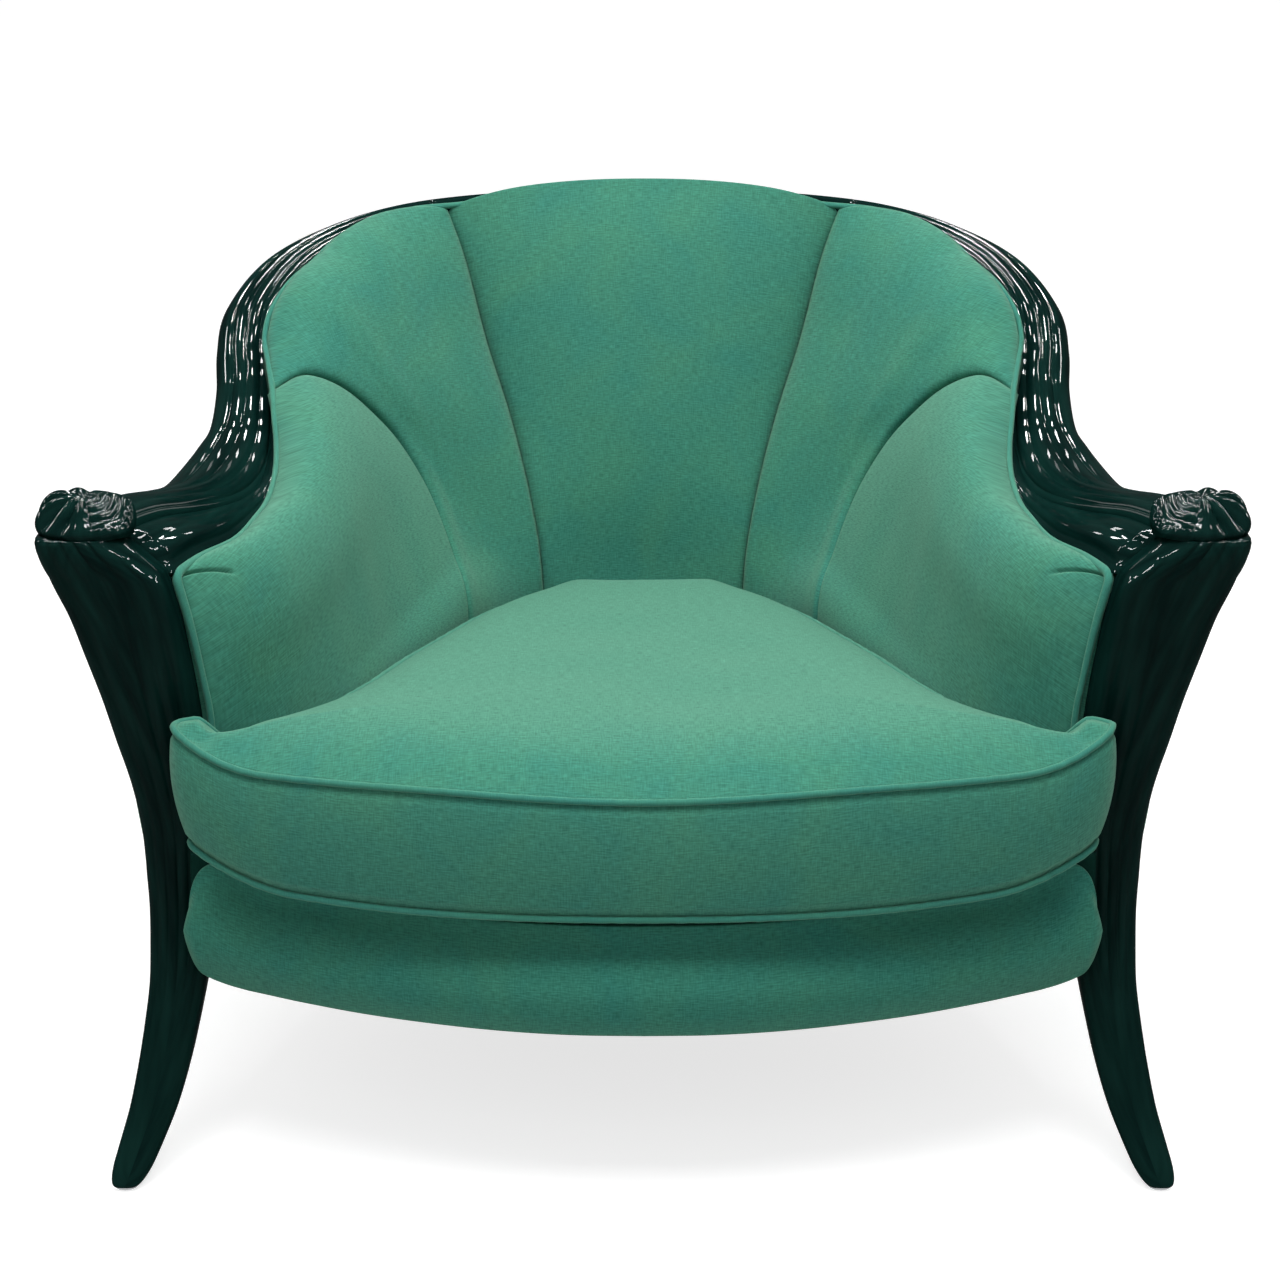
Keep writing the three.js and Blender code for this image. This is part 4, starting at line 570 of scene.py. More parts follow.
# %% Carved end
SHELL_HALF_WIDTH, SHELL_HALF_DEPTH, SHELL_TOP, SHELL_DROP = 46.0, 35.0, 35.0, -1.0
SHELL_PROFILE = row_curve([
    [0.00, 0.93], [0.16, 0.95], [0.34, 0.99], [0.52, 1.00], [0.70, 0.96], [0.86, 0.85], [0.96, 0.66],
    [1.00, 0.43], [0.985, 0.22], [0.95, 0.05], [0.90, -0.40], [0.50, -0.40], [0.00, -0.40],
])
RIM_LEVEL = -0.40                # the profile's lowest level, which lies SHELL_DROP from the centre line
FRONT_FALL = 0.62                # how much of its height the profile loses towards the front rim
LOBE_EDGES = np.pi * np.array([-0.52, -0.25, -0.02, 0.18, 0.37, 0.58])
LOBE_DEPTH, LOBE_SWELL, LOBE_DRAW = 6.5, 3.0, 0.40
CRESCENT_DEPTH, CRESCENT_COUNT = 3.2, 5.6
EYE_X, EYE_Y, EYE_DEPTH, EYE_RADIUS = 0.08, 0.02, 3.5, 0.085
BEAD_RISE, BEAD_WAVE, BEAD_COUNT, BEAD_REACH, BEAD_WIDTH = 1.6, 0.9, 38, 0.93, 0.05


def carved_end():
    """Height = profile(r) - lobe grooves - crescents, with the profile lower towards the front rim.
    Grooves deepen outwards and are valleys of the angle, counted in lobes; crescents are valleys of the
    distance from the eye. A ring of small beads follows the rim on the inner side."""
    a = np.linspace(-np.pi, np.pi, 290, endpoint=False)[None, :]
    w = np.linspace(0.0, 1.0, 130)[:, None]
    r, h = SHELL_PROFILE(w[:, 0]).T
    r, h = np.maximum(r, 0.002)[:, None], h[:, None]
    front = smooth((np.sin(a) + 0.25) / 0.9)
    h = h * np.where(h > 0, 1 - FRONT_FALL * front * smooth((r - 0.10) / 0.90), 1.0)
    top = np.clip(2 * h, 0, 1)
    reach = np.hypot(r * np.cos(a) - EYE_X * (1 - r), r * np.sin(a) - EYE_Y * (1 - r))
    outer = smooth((a - LOBE_EDGES[0]) / 0.4 + 0.5) * smooth((LOBE_EDGES[-1] - a) / 0.4 + 0.5)
    groove = valleys(np.interp(a[0], LOBE_EDGES, np.arange(len(LOBE_EDGES))), 0.6)[None, :] * outer
    lobes = LOBE_DEPTH * groove * smooth(reach * 2.2) * mix(0.5, 1.0, smooth(reach * 1.3))
    swell = LOBE_SWELL * outer * (1 - groove) * np.sin(np.pi * np.clip(reach, 0, 1)) * top
    fade = smooth(reach * 5) * smooth((0.97 - reach) * 9)
    crescents = CRESCENT_DEPTH * valleys(CRESCENT_COUNT * reach, 0.6) * (1 - outer) * fade * top
    ring = (1 - outer) * np.exp(-(((reach - BEAD_REACH) / BEAD_WIDTH) ** 2)) * top
    beads = ring * (BEAD_RISE + BEAD_WAVE * np.cos(BEAD_COUNT * a))
    pit = EYE_DEPTH * np.exp(-((reach / EYE_RADIUS) ** 2)) * top
    height = np.where(h > 0, h * SHELL_TOP, h * SHELL_DROP / -RIM_LEVEL)
    draw = lobes * LOBE_DRAW * np.minimum(1, r * 1.2)
    centre = rail_point(0.0)
    return np.stack([
        centre[0] + (r * SHELL_HALF_WIDTH - draw) * np.cos(a),
        centre[1] - (r * SHELL_HALF_DEPTH - draw) * np.sin(a),
        centre[2] + height - lobes * top * 0.8 + swell - crescents - pit + beads,
    ], axis=-1)


rail_part, end_part = stack(arm_rings), stack(carved_end())
print("carved end:", len(end_part[1]), "faces")

# %% [markdown]
# The crest rail
#
# Behind the back the two arm rails meet a third piece, doweled between them. It has the same section as
# they have, so it is the same sweep, run over the middle from one joint to the other.

# %% Crest rail
crest_rings = rail_body(CREST_JOINT + JOINT_GAP, 2 - CREST_JOINT - JOINT_GAP, 140, fade=False)
build("show_crest_rail", [stack(crest_rings)], WOOD, "chair", "crest_rail")

# %% [markdown]
# Front posts and rear legs
#
# Post and sabre leg are sawn from one plank. Under the carved end the post is broad and its reeds fan out;
# lower down they run together and fade into a plain, slightly rounded leg. Each height has its own outer
# edge, face and size, read from the same tables as the solid.

# %% Front posts
POST_SIDE = table_curve([
    [0.000, 0.918], [0.045, 0.904], [0.092, 0.890], [0.145, 0.880], [0.195, 0.873], [0.250, 0.867],
    [0.312, 0.864], [0.377, 0.861], [0.445, 0.862], [0.517, 0.866], [0.590, 0.878], [0.660, 0.897],
    [0.732, 0.915], [0.802, 0.936], [0.872, 0.957], [0.938, 0.985], [0.975, 1.000], [1.000, 1.005],
])
POST_FACE = table_curve([
    [0.000, -1.00], [0.045, -0.81], [0.092, -0.62], [0.145, -0.445], [0.195, -0.29], [0.250, -0.15],
    [0.312, -0.065], [0.377, -0.015], [0.445, 0.00], [0.517, 0.08], [0.590, 0.21], [0.660, 0.33],
    [0.732, 0.48], [0.802, 0.63], [0.872, 0.79], [0.938, 0.91], [0.975, 0.98], [1.000, 0.96],
])
POST_SIZE = table_curve([
    [0.000, -1.00], [0.045, -0.74], [0.092, -0.54], [0.145, -0.39], [0.195, -0.28], [0.250, -0.16],
    [0.312, -0.01], [0.377, 0.04], [0.445, 0.10], [0.517, 0.17], [0.590, 0.28], [0.660, 0.40],
    [0.732, 0.49], [0.802, 0.58], [0.872, 0.65], [0.938, 0.72], [0.975, 0.50], [1.000, 0.27],
])
POST_TOP_Z, POST_REED_COUNT, POST_REED_DEPTH = 600.0, 6, 2.6
FOOT_WIDTH, LEG_WIDTH, POST_TOP_WIDTH = 34.0, 58.0, 120.0
FOOT_THICK, LEG_THICK, POST_TOP_THICK = 44.0, 55.0, 70.0
FOOT_FRONT_Y, LEG_FRONT_Y, POST_FRONT_Y = -430.0, -291.0, -343.0
TOE_HEIGHT, TOE_DRAW = 19.0, 0.42


def between(low, middle, high, s):
    """From middle towards high where s is positive, towards low where it is negative."""
    return np.where(s < 0, mix(middle, low, -s), mix(middle, high, s))


def rounded_box(count, power=5.0):
    """A closed ring from -1 to 1 each way: |x|^p + |y|^p = 1, evenly turned from the middle of the back."""
    a = np.linspace(-np.pi / 2, 1.5 * np.pi, count, endpoint=False)
    x, y = np.cos(a), np.sin(a)
    scale = (np.abs(x) ** power + np.abs(y) ** power) ** (-1 / power)
    return np.stack([x * scale, y * scale], axis=-1)


def post_sizes(share):
    """The face, the back and the width of the post at a share of its height."""
    size = POST_SIZE(share)[..., 0]
    face = between(FOOT_FRONT_Y, LEG_FRONT_Y, POST_FRONT_Y, POST_FACE(share)[..., 0])
    back = face + between(FOOT_THICK, LEG_THICK, POST_TOP_THICK, size)
    return face, back, between(FOOT_WIDTH, LEG_WIDTH, POST_TOP_WIDTH, size)


def front_post():
    """Each ring is a rounded box between the outer and inner edge and the front and back faces. On the
    front half the face is cut back by reeds: depth * valleys(count * across). The inner front corner is
    rounded to R - sqrt(R^2 - (R - distance)^2), wide where the post flares into the rail, and the toe is
    drawn in over its last 19 mm."""
    share = np.concatenate([1 - np.cos(np.linspace(0, 0.25, 14)), np.linspace(0.035, 0.90, 140),
                            np.linspace(0.902, 1.0, 50)])
    outer = HALF_WIDTH * (POST_SIDE(share)[:, 0] + 0.0066 * smooth((share - 0.25) / 0.2))
    face, back, width = post_sizes(share)
    inner = outer - width
    ring = rounded_box(176, power=4.5)
    across = 0.5 - 0.5 * ring[None, :, 0]
    x = mix(outer[:, None], inner[:, None], across)
    y = mix(face[:, None], back[:, None], 0.5 + 0.5 * ring[None, :, 1])
    frontness = smooth((-ring[None, :, 1] - 0.45) / 0.5)
    depth = POST_REED_DEPTH * smooth((share - 0.16) / 0.18)[:, None]
    bow = 0.06 * (back - face)[:, None] * (2 * across - 1) ** 2
    y = y + frontness * (depth * valleys(POST_REED_COUNT * across, 0.8) + bow)
    shoulder = 1.2 * smooth((share - 0.993) / 0.007)[:, None]
    x = x - shoulder * ring[None, :, 0]
    y = y - shoulder * ring[None, :, 1]
    z = POST_TOP_Z * share[:, None]
    wide = mix(5.0, 30.0, smooth((z - 515.0) / 65.0))
    near = np.clip(wide - (x - inner[:, None]), 0, wide)
    y = np.maximum(y, face[:, None] + wide - np.sqrt(wide**2 - near**2) - 0.02 * wide * ring[None, :, 1])
    toe = 1 - TOE_DRAW * (1 - np.sqrt(1 - np.clip(1 - z / TOE_HEIGHT, 0, 1) ** 2))
    x = mix(x.mean(axis=1, keepdims=True), x, toe)
    y = mix(y.mean(axis=1, keepdims=True), y, toe)
    return np.stack([x, y, np.broadcast_to(z, x.shape)], axis=-1)


post_part = stack(front_post())
for side, turned in SIDES:
    build(f"show_front_post_{side}", [turned(post_part)], WOOD, "chair", f"front_leg_{side}")

# %% [markdown]
# Rear legs
#
# Leg and back upright are one plank here too. The leg sweeps out to the rear and the upright leans back
# under the rail, so one square section is carried up a table of its way.

# %% Rear legs
REAR_LEG_ROWS = table_curve([
    [0.000, -1.00, -1.00], [0.040, -0.72, -0.76], [0.085, -0.44, -0.50], [0.135, -0.20, -0.26],
    [0.185, -0.05, -0.08], [0.228, 0.00, 0.00], [0.330, 0.02, 0.00], [0.500, 0.22, 0.26],
    [0.750, 0.62, 0.64], [1.000, 1.00, 1.00],
])
REAR_TOP, REAR_TOP_DROP = 0.806, 18.0        # where it meets the rail, and how far under its centre line
REAR_FOOT_Y, REAR_LEG_Y, REAR_TOP_Y = 438.0, 336.0, 294.0
REAR_FOOT_SIZE, REAR_LEG_SIZE = 32.0, 42.0
REAR_COUNT, REAR_SIDES = 120, 64


def rear_leg():
    """A rounded square carried up the leg's curve from the foot to the underside of the rail."""
    share = np.linspace(0, 1, REAR_COUNT)
    way, size = REAR_LEG_ROWS(share).T
    x = HALF_WIDTH * between(0.537, 0.471, 0.559, way)
    y = between(REAR_FOOT_Y, REAR_LEG_Y, REAR_TOP_Y, way)
    half = between(REAR_FOOT_SIZE, REAR_LEG_SIZE, REAR_LEG_SIZE, size) / 2
    z = share * (rail_point(REAR_TOP)[2] - REAR_TOP_DROP)
    ring = rounded_box(REAR_SIDES, power=4.0)
    return np.stack([
        x[:, None] + half[:, None] * ring[None, :, 0],
        y[:, None] + half[:, None] * ring[None, :, 1],
        np.broadcast_to(z[:, None], (REAR_COUNT, REAR_SIDES)),
    ], axis=-1)


rear_part = stack(rear_leg())
for side, turned in SIDES:
    build(f"show_rear_leg_{side}", [turned(rear_part)], WOOD, "chair", f"rear_leg_{side}")

# %% [markdown]
# The channelled back
#
# The inside of the back is five padded channels sewn to each other. Between two seams the cover swells,
# and at a seam it dives in, so that a seam is a narrow dark line. Each channel starts from its four border
# curves: a Coons patch joins them, and a crown is pushed out of it.

# %% Borders of the channels
TUCK_Z = 285.2
EDGE_ARM = [
    [0.790, 0.024, -0.212], [0.759, 0.085, -0.188], [0.715, 0.170, -0.188], [0.693, 0.248, -0.163],
    [0.678, 0.319, -0.130], [0.673, 0.390, -0.043], [0.680, 0.454, 0.053], [0.688, 0.489, 0.125],
    [0.699, 0.545, 0.236],
]
EDGE_SIDE = [
    [0.699, 0.545, 0.236], [0.715, 0.603, 0.346], [0.726, 0.638, 0.423], [0.722, 0.667, 0.514],
    [0.708, 0.695, 0.591], [0.684, 0.730, 0.668], [0.643, 0.773, 0.745], [0.605, 0.809, 0.832],
    [0.540, 0.858, 0.909], [0.460, 0.891, 0.947], [0.390, 0.906, 0.957],
]
EDGE_CENTRE = [[0.390, 0.906, 0.957], [0.270, 0.918, 0.981], [0.134, 0.922, 0.995], [0.000, 0.923, 1.000]]
FOOT_ARM = [
    [0.735, 0.027], [0.634, 0.095], [0.564, 0.174], [0.509, 0.262], [0.460, 0.369], [0.401, 0.472],
    [0.346, 0.574],
]
FOOT_SIDE = [[0.346, 0.574], [0.301, 0.640], [0.250, 0.699], [0.195, 0.748]]
FOOT_CENTRE = [[0.195, 0.748], [0.131, 0.753], [0.064, 0.756], [0.000, 0.756]]
SEAM_ARM = [
    [0.336, 0.583, 0.237], [0.368, 0.624, 0.340], [0.415, 0.652, 0.457], [0.472, 0.652, 0.560],
    [0.526, 0.631, 0.633], [0.570, 0.610, 0.681], [0.614, 0.589, 0.711], [0.651, 0.572, 0.719],
]
SEAM_CENTRE = [
    [0.199, 0.753, 0.239], [0.221, 0.773, 0.394], [0.261, 0.816, 0.552], [0.312, 0.858, 0.711],
    [0.353, 0.889, 0.872],
]
SEAM_FRONT = [[0.739, 0.024, 0.239], [0.750, 0.023, 0.325], [0.767, 0.021, 0.426]]


def plan_points(rows, z):
    """Points from shares of the half width and of the way from the carved ends to the crest."""
    return np.stack([HALF_WIDTH * rows[:, 0], mix(SCROLL_Y, CREST_Y, rows[:, 1]), z], axis=-1)


def edge_points(rows):
    """The upper edge of the cover: the third share is the rise from the carved ends to the crest."""
    rows = np.asarray(rows, float)
    return plan_points(rows, mix(SCROLL_Z, COVER_CREST_Z, rows[:, 2]))


def foot_points(rows):
    """The lower edge, tucked in behind the cushion."""
    return plan_points(np.asarray(rows, float), np.full(len(rows), TUCK_Z))


def seam_points(foot, rows, edge):
    """A seam from its foot to the edge: the third share is the rise from the tuck to the crest."""
    rows = np.asarray(rows, float)
    return np.vstack([foot, plan_points(rows, mix(TUCK_Z, COVER_CREST_Z, rows[:, 2])), edge])


edge_arm, edge_side, edge_centre = edge_points(EDGE_ARM), edge_points(EDGE_SIDE), edge_points(EDGE_CENTRE)
foot_arm, foot_side, foot_centre = foot_points(FOOT_ARM), foot_points(FOOT_SIDE), foot_points(FOOT_CENTRE)
seam_front = row_curve(seam_points(foot_arm[0], SEAM_FRONT, edge_arm[0]))
seam_arm = row_curve(seam_points(foot_side[0], SEAM_ARM, edge_side[0]))
seam_centre = row_curve(seam_points(foot_centre[0], SEAM_CENTRE, edge_centre[0]))
print("centre seam, lower and upper end:", seam_centre([0.0, 1.0]).round(0).tolist())

# %% [markdown]
# The swell of a channel
#
# A channel is a tube of cloth stuffed with fibre: round between its seams, flat where it is tucked away
# below, and rolled over its upper edge. The cover never lies quite even, so a few faint slow waves are
# added. Stitches pull the cloth down hard within a few millimetres of a seam.

# %% Channel surface
OUT_FRONT, OUT_ARM, OUT_CENTRE = 0.06, 0.18, 0.36    # which way the padding swells, in half turns
SEAM_DIVE, EDGE_DIVE, STITCH_REACH = 6.0, 4.0, 2.4
FOOT_BASE, BASE_DROP, EDGE_BASE_SHARE = 58.0, 24.0, 0.12
WAVE_COUNT = 9


def ripples(grid, seed, size, amount):
    """Soft uneven swelling: a sum of a few sine waves over space with seeded directions."""
    rng = np.random.default_rng(seed)
    total = np.zeros(grid.shape[:-1])
    for _ in range(WAVE_COUNT):
        wave = rng.normal(size=3) / size
        total += np.sin(grid @ wave * 2 * np.pi + rng.uniform(0, 2 * np.pi)) / WAVE_COUNT
    return amount * total


def channel(left, right, low, high, turns, bases, crown, nu, ns, seed, fold=None):
    """Coons patch: the two blends of opposite borders minus the blend of the corners. Its crown is
    height * (1 - |2u - 1|^p)^0.8 between the seams, times a share that is small at the foot and rounds off
    under the edge. Every border is pulled in by depth * exp(-distance / 2.4), as the stitches do. The
    back follows the front's plan at a distance, thick at the foot and thin at the edge."""
    height, foot, edge, lift_share, power = crown
    u = np.linspace(0, 1, nu)
    u = mix(u, 0.5 - 0.5 * np.cos(np.pi * u), 0.6)[None, :]
    s = np.linspace(0, 1, ns)
    s = mix(s, 1 - (1 - s) ** 2, 0.5)[:, None]
    left_points, right_points = left(s[:, 0]), right(s[:, 0])
    wide = np.linalg.norm(left_points - right_points, axis=-1)[:, None]
    trim = 0.4 / wide
    u = mix(trim, 1 - trim, u)
    low_points, high_points = (border(u.ravel()).reshape(*u.shape, 3) for border in (low, high))
    tall = np.linalg.norm(low_points - high_points, axis=-1)
    u3, s3 = u[..., None], s[..., None]
    (low_left, low_right), (high_left, high_right) = (border([0.0, 1.0]) for border in (low, high))
    surface = (left_points[:, None] * (1 - u3) + right_points[:, None] * u3
               + low_points * (1 - s3) + high_points * s3
               - low_left * (1 - u3) * (1 - s3) - low_right * u3 * (1 - s3)
               - high_left * (1 - u3) * s3 - high_right * u3 * s3)
    turn = np.pi * mix(turns[0], turns[1], u)
    away = np.stack([np.cos(turn), np.sin(turn), np.zeros_like(turn)], axis=-1)
    lift = np.pi * lift_share * smooth((s - 0.55) / 0.45)
    rounding = np.sqrt(1 - (1 - edge**2) * np.clip(1 - (1 - s) / 0.28, 0, 1) ** 2)
    rise = mix(foot, 1, smooth((s - 0.15) / 0.5)) * rounding
    swell = (1 - np.abs(2 * u - 1) ** power) ** 0.8
    bulge = height * swell * rise + ripples(surface, seed, 260.0, 2.2) * swell * (1 - s) ** 0.3
    seam_distance, edge_below = np.minimum(u, 1 - u) * wide, (1 - s) * tall
    bulge = (bulge - SEAM_DIVE * np.exp(-seam_distance / STITCH_REACH)
             - EDGE_DIVE * np.exp(-edge_below / STITCH_REACH))
    if fold:
        bulge = bulge - fold(u * wide, edge_below)
    front = surface - away * (bulge * np.cos(lift))[..., None] + UP * (bulge * np.sin(lift))[..., None]
    thin = mix(1.0, EDGE_BASE_SHARE, smooth((s - 0.86) / 0.14))
    base = mix(FOOT_BASE, mix(bases[0], bases[1], u), s) * thin
    back = surface + away * base[..., None] - UP * (BASE_DROP * smooth(2 * s - 1))[..., None]
    return front, back


def whole_row(points):
    """A row from the chair's side to its middle, carried on to the other side."""
    return np.vstack([points, (points * FLIP)[:-1][::-1]])


def corner_pleat(along, down):
    """The small tuck at the front corner: a groove whose line starts 4 mm under the corner, runs back
    58 mm and drops further below the rising edge, fading out at its end."""
    line = 4.0 + 0.30 * along + 0.008 * along**2
    return 5.5 * np.exp(-(((down - line) / 1.9) ** 2)) * smooth((64.0 - along) / 14.0)


arm_front, arm_back = channel(seam_front, seam_arm, row_curve(foot_arm), row_curve(edge_arm),
                              (OUT_FRONT, OUT_ARM), (26.0, 26.0), (34.0, 0.1, 0.25, 0.22, 2.6), 150, 190, 3,
                              fold=corner_pleat)
side_front, side_back = channel(seam_arm, seam_centre, row_curve(foot_side), row_curve(edge_side),
                                (OUT_ARM, OUT_CENTRE), (26.0, 30.0), (44.0, 0.1, 0.35, 0.25, 2.6), 130, 150, 5)
centre_front, centre_back = channel(seam_centre, lambda s: seam_centre(s) * FLIP,
                                    row_curve(whole_row(foot_centre)), row_curve(whole_row(edge_centre)),
                                    (OUT_CENTRE, 1 - OUT_CENTRE), (30.0, 30.0),
                                    (40.0, 0.1, 0.62, 0.38, 2.6), 140, 150, 7)
print("arm pad spans", (arm_front.reshape(-1, 3).max(0) - arm_front.reshape(-1, 3).min(0)).round(0))

# %% [markdown]
# From two skins to a pad
#
# A pad has a front skin and a back skin. Folding each row of the front round into the same row of the back
# makes a ring, and the two ends are closed with strips, so that every pad is one closed body.

# %% Closed pads
def end_strips(rows, cols):
    """Quads that close a folded panel at its first and last row."""
    i = np.arange(cols - 1)
    m = 2 * cols
    first = np.stack([i, m - 1 - i, m - 2 - i, i + 1], axis=1)
    last = first + (rows - 1) * m
    return np.vstack([first, last[:, ::-1]])


def panel(front, back):
    """A closed padded panel from its front and back grids."""
    points, faces, cloth = stack(folded(front, back), caps=False)
    strips = end_strips(*front.shape[:2])
    was_turned = faces[0, 1] != 1
    if was_turned:
        strips = strips[:, ::-1]
    return points, np.vstack([faces, strips]), np.vstack([cloth, np.zeros((len(strips), 4, 2))])


arm_part, side_part = panel(arm_front, arm_back), panel(side_front, side_back)
centre_part = panel(centre_front, centre_back)
print("faces of the three pads:", [len(part[1]) for part in (arm_part, side_part, centre_part)])


# %% [markdown]
# Arms down to the cover
#
# Under the rail the wood goes on to the cover, so that no hollow shows between them. This fascia is a strip
# between two lines, one hidden inside the rail and one along the piping, and joins the arm rail's mesh.

# %% Arm rails
FASCIA_THICK = 6.0


def arm_fascia():
    """The wood below the arm's inner side, down to the cover: from a line inside the rail to one along
    the piping, bowed by share * sin(pi v) with two soft reeds, and with its back 6 mm inside. Its front
    end starts inside the post and comes out of it gradually."""
    edge = row_curve(edge_arm)(np.linspace(0.03, 0.80, 130))
    reach = np.linspace(0, 0.6, 400)
    at, up, out, width = rail_frame(np.interp(edge[:, 1], rail_point(reach)[:, 1], reach))
    upper = at - 0.40 * width[:, None] * out + 0.10 * RAIL_THICK * up
    lower = edge + 1.0 * out
    first = row_curve([[486, -303, 600], [485, -299, 601], [484, -295, 602], [482, -291, 603], upper[0]])
    under = row_curve([[443, -302, 561], [439, -298, 559], [436, -294, 558], [432, -291, 557], lower[0]])
    s = np.linspace(0, 1, 40)[:-1]
    upper, lower = np.vstack([first(s), upper]), np.vstack([under(s), lower])
    inner = unit(np.vstack([np.repeat(-out[:1], len(s), axis=0), -out]) + 0.5 * UP)
    v = np.linspace(0, 1, 40)[None, :, None]
    gap = np.linalg.norm(upper - lower, axis=-1)[:, None, None]
    bow = 0.16 * gap * np.sin(np.pi * v) + np.minimum(2.0, 0.06 * gap) * np.abs(np.sin(2.5 * np.pi * v))
    bow = bow * smooth(np.arange(len(upper)) / 60.0)[:, None, None]
    face = mix(upper[:, None], lower[:, None], v) + bow * inner[:, None]
    return face, face - FASCIA_THICK * inner[:, None]


rail_parts = [rail_part, end_part, panel(*arm_fascia())]
for side, turned in SIDES:
    build(f"show_rail_{side}", [turned(part) for part in rail_parts], WOOD, "chair", f"arm_rail_{side}")

# %% [markdown]
# Pads and channels in place
#
# The cover is cut so that its weave stands upright all round the back, or the colour would change from
# channel to channel. So the map of each pad is laid level before the piece is made.

# %% Pads and channels
for side, turned in SIDES:
    padded_piece(f"padded_arm_{side}", level_weave(turned(arm_part)), COVER, "chair", f"arm_pad_{side}")
    padded_piece(f"padded_side_{side}", level_weave(turned(side_part)), COVER, "chair",
                 f"side_channel_{side}")
padded_piece("padded_centre", level_weave(centre_part), COVER, "chair", "centre_channel")

# %% [markdown]
# Piping round the show wood
#
# Where the cover meets the wood the upholsterer sews in a piping: a cord wrapped in the same velvet. It is
# a tube that follows the edge of the cover, from the front corner of one arm over the back to the other.

# %% Piping
CORD_RADIUS, CORNER_SWELL, CORD_STEP = 3.2, 1.4, 3.0


def tube(points, radius, sides, closed):
    """A ring of the given radius round each point, square to the line and level at its top."""
    if closed:
        before, after = np.roll(points, 1, axis=0), np.roll(points, -1, axis=0)
    else:
        before = np.vstack([points[:1], points[:-1]])
        after = np.vstack([points[1:], points[-1:]])
    along = unit(after - before)
    up = unit(UP - along * along[:, 2:3])
    out = np.cross(along, up)
    a = np.linspace(0, 2 * np.pi, sides, endpoint=False)[None, :, None]
    radius = np.broadcast_to(np.asarray(radius, float), (len(points),))[:, None, None]
    return points[:, None] + radius * (np.cos(a) * out[:, None] + np.sin(a) * up[:, None])


half_line = np.vstack([
    seam_front(np.linspace(0.22, 1, 60)) + [0.0, -2.0, 0.0],
    row_curve(edge_arm)(np.linspace(0, 1, 120))[1:],
    row_curve(edge_side)(np.linspace(0, 1, 120))[1:],
    row_curve(edge_centre)(np.linspace(0, 1, 60))[1:],
])
rough_line = np.vstack([half_line * FLIP, half_line[::-1][1:]])
line = spaced(rough_line, int(travelled(rough_line)[-1] / CORD_STEP))
kernel = np.hanning(15) / np.hanning(15).sum()
for axis in range(3):
    line[7:-7, axis] = np.convolve(line[:, axis], kernel, "valid")
corner = np.linalg.norm(np.abs(line) * [1, 0, 0] + line * [0, 1, 1] - edge_arm[0], axis=1)
cord = CORD_RADIUS + CORNER_SWELL * np.exp(-((corner / 60.0) ** 2))
build("frame_piping", [stack(tube(line, cord, 16, False))], CORD, "chair", "frame_welt")

# %% [markdown]
# The loose cushion
#
# The cushion is a T shape: its two ears reach in front of the posts. A band runs between two piped seams,
# and the top swells from the seam to a broad crown. The outline is read from one table, and all rings are
# offsets of it.

# %% Cushion outline
CUSHION_SHARES = np.array([
    [0.000, 1.000], [0.061, 0.998], [0.119, 0.997], [0.162, 0.992], [0.186, 0.982], [0.210, 0.959],
    [0.235, 0.929], [0.281, 0.879], [0.325, 0.813], [0.377, 0.715], [0.408, 0.656], [0.439, 0.598],
    [0.467, 0.538], [0.493, 0.480], [0.522, 0.426], [0.555, 0.370], [0.607, 0.308], [0.654, 0.266],
    [0.691, 0.239], [0.713, 0.215], [0.735, 0.193], [0.768, 0.181], [0.787, 0.163], [0.779, 0.142],
    [0.743, 0.121], [0.684, 0.097], [0.610, 0.073], [0.533, 0.054], [0.445, 0.036], [0.349, 0.021],
    [0.239, 0.009], [0.121, 0.002], [0.000, 0.000],
])
CUSHION_BACK_Y, CUSHION_FRONT_Y = foot_centre[-1, 1] - 14.0, -454.0
CUSHION_LOW, CUSHION_TALL, CUSHION_CROWN, WELT = 290.2, 103.0, 41.0, 3.2
CUSHION_MIDDLE_Y = mix(CUSHION_FRONT_Y, CUSHION_BACK_Y, 0.243)
CUSHION_COUNT = 520


def cushion_outline():
    """The whole plan outline from the half table, with its points at even distances."""
    half = row_curve(np.stack([HALF_WIDTH * CUSHION_SHARES[:, 0],
                               mix(CUSHION_FRONT_Y, CUSHION_BACK_Y, CUSHION_SHARES[:, 1])], axis=-1))
    dense = half(np.linspace(0, 1, 1200))
    whole = np.vstack([dense, (dense * [-1, 1])[::-1][1:-1]])
    return spaced(np.vstack([whole, whole[:1]]), CUSHION_COUNT, closed=True)


outline = cushion_outline()
tangent = np.roll(outline, -1, axis=0) - np.roll(outline, 1, axis=0)
normals = unit(np.stack([-tangent[:, 1], tangent[:, 0]], axis=-1))
print("cushion outline length:", round(float(travelled(outline)[-1])), "mm")


def ear_rise(x, y, rise=1.0):
    """The front corners stand up. With s the share of the half width: 28.5 ((s - 0.62) / 0.167)^2.2 along the
    upper front edge, a step of 29 mm along the ear's back, and 27 ((s - 0.60) / 0.187)^1.9 below."""
    s = np.abs(x) / HALF_WIDTH
    front = 28.5 * np.clip((s - 0.62) / 0.167, 0, 1.1) ** 2.2
    back = 29.0 * smooth((s - 0.70) / 0.055)
    below = 27.0 * np.clip((s - 0.60) / 0.187, 0, 1.1) ** 1.9
    return mix(below, mix(front, back, smooth((y + 362.0) / 24.0)), rise)


def side_rise(x):
    """The top edge runs a little higher at the sides than in the middle."""
    return 7.0 * smooth(np.abs(x) / HALF_WIDTH / 0.42)


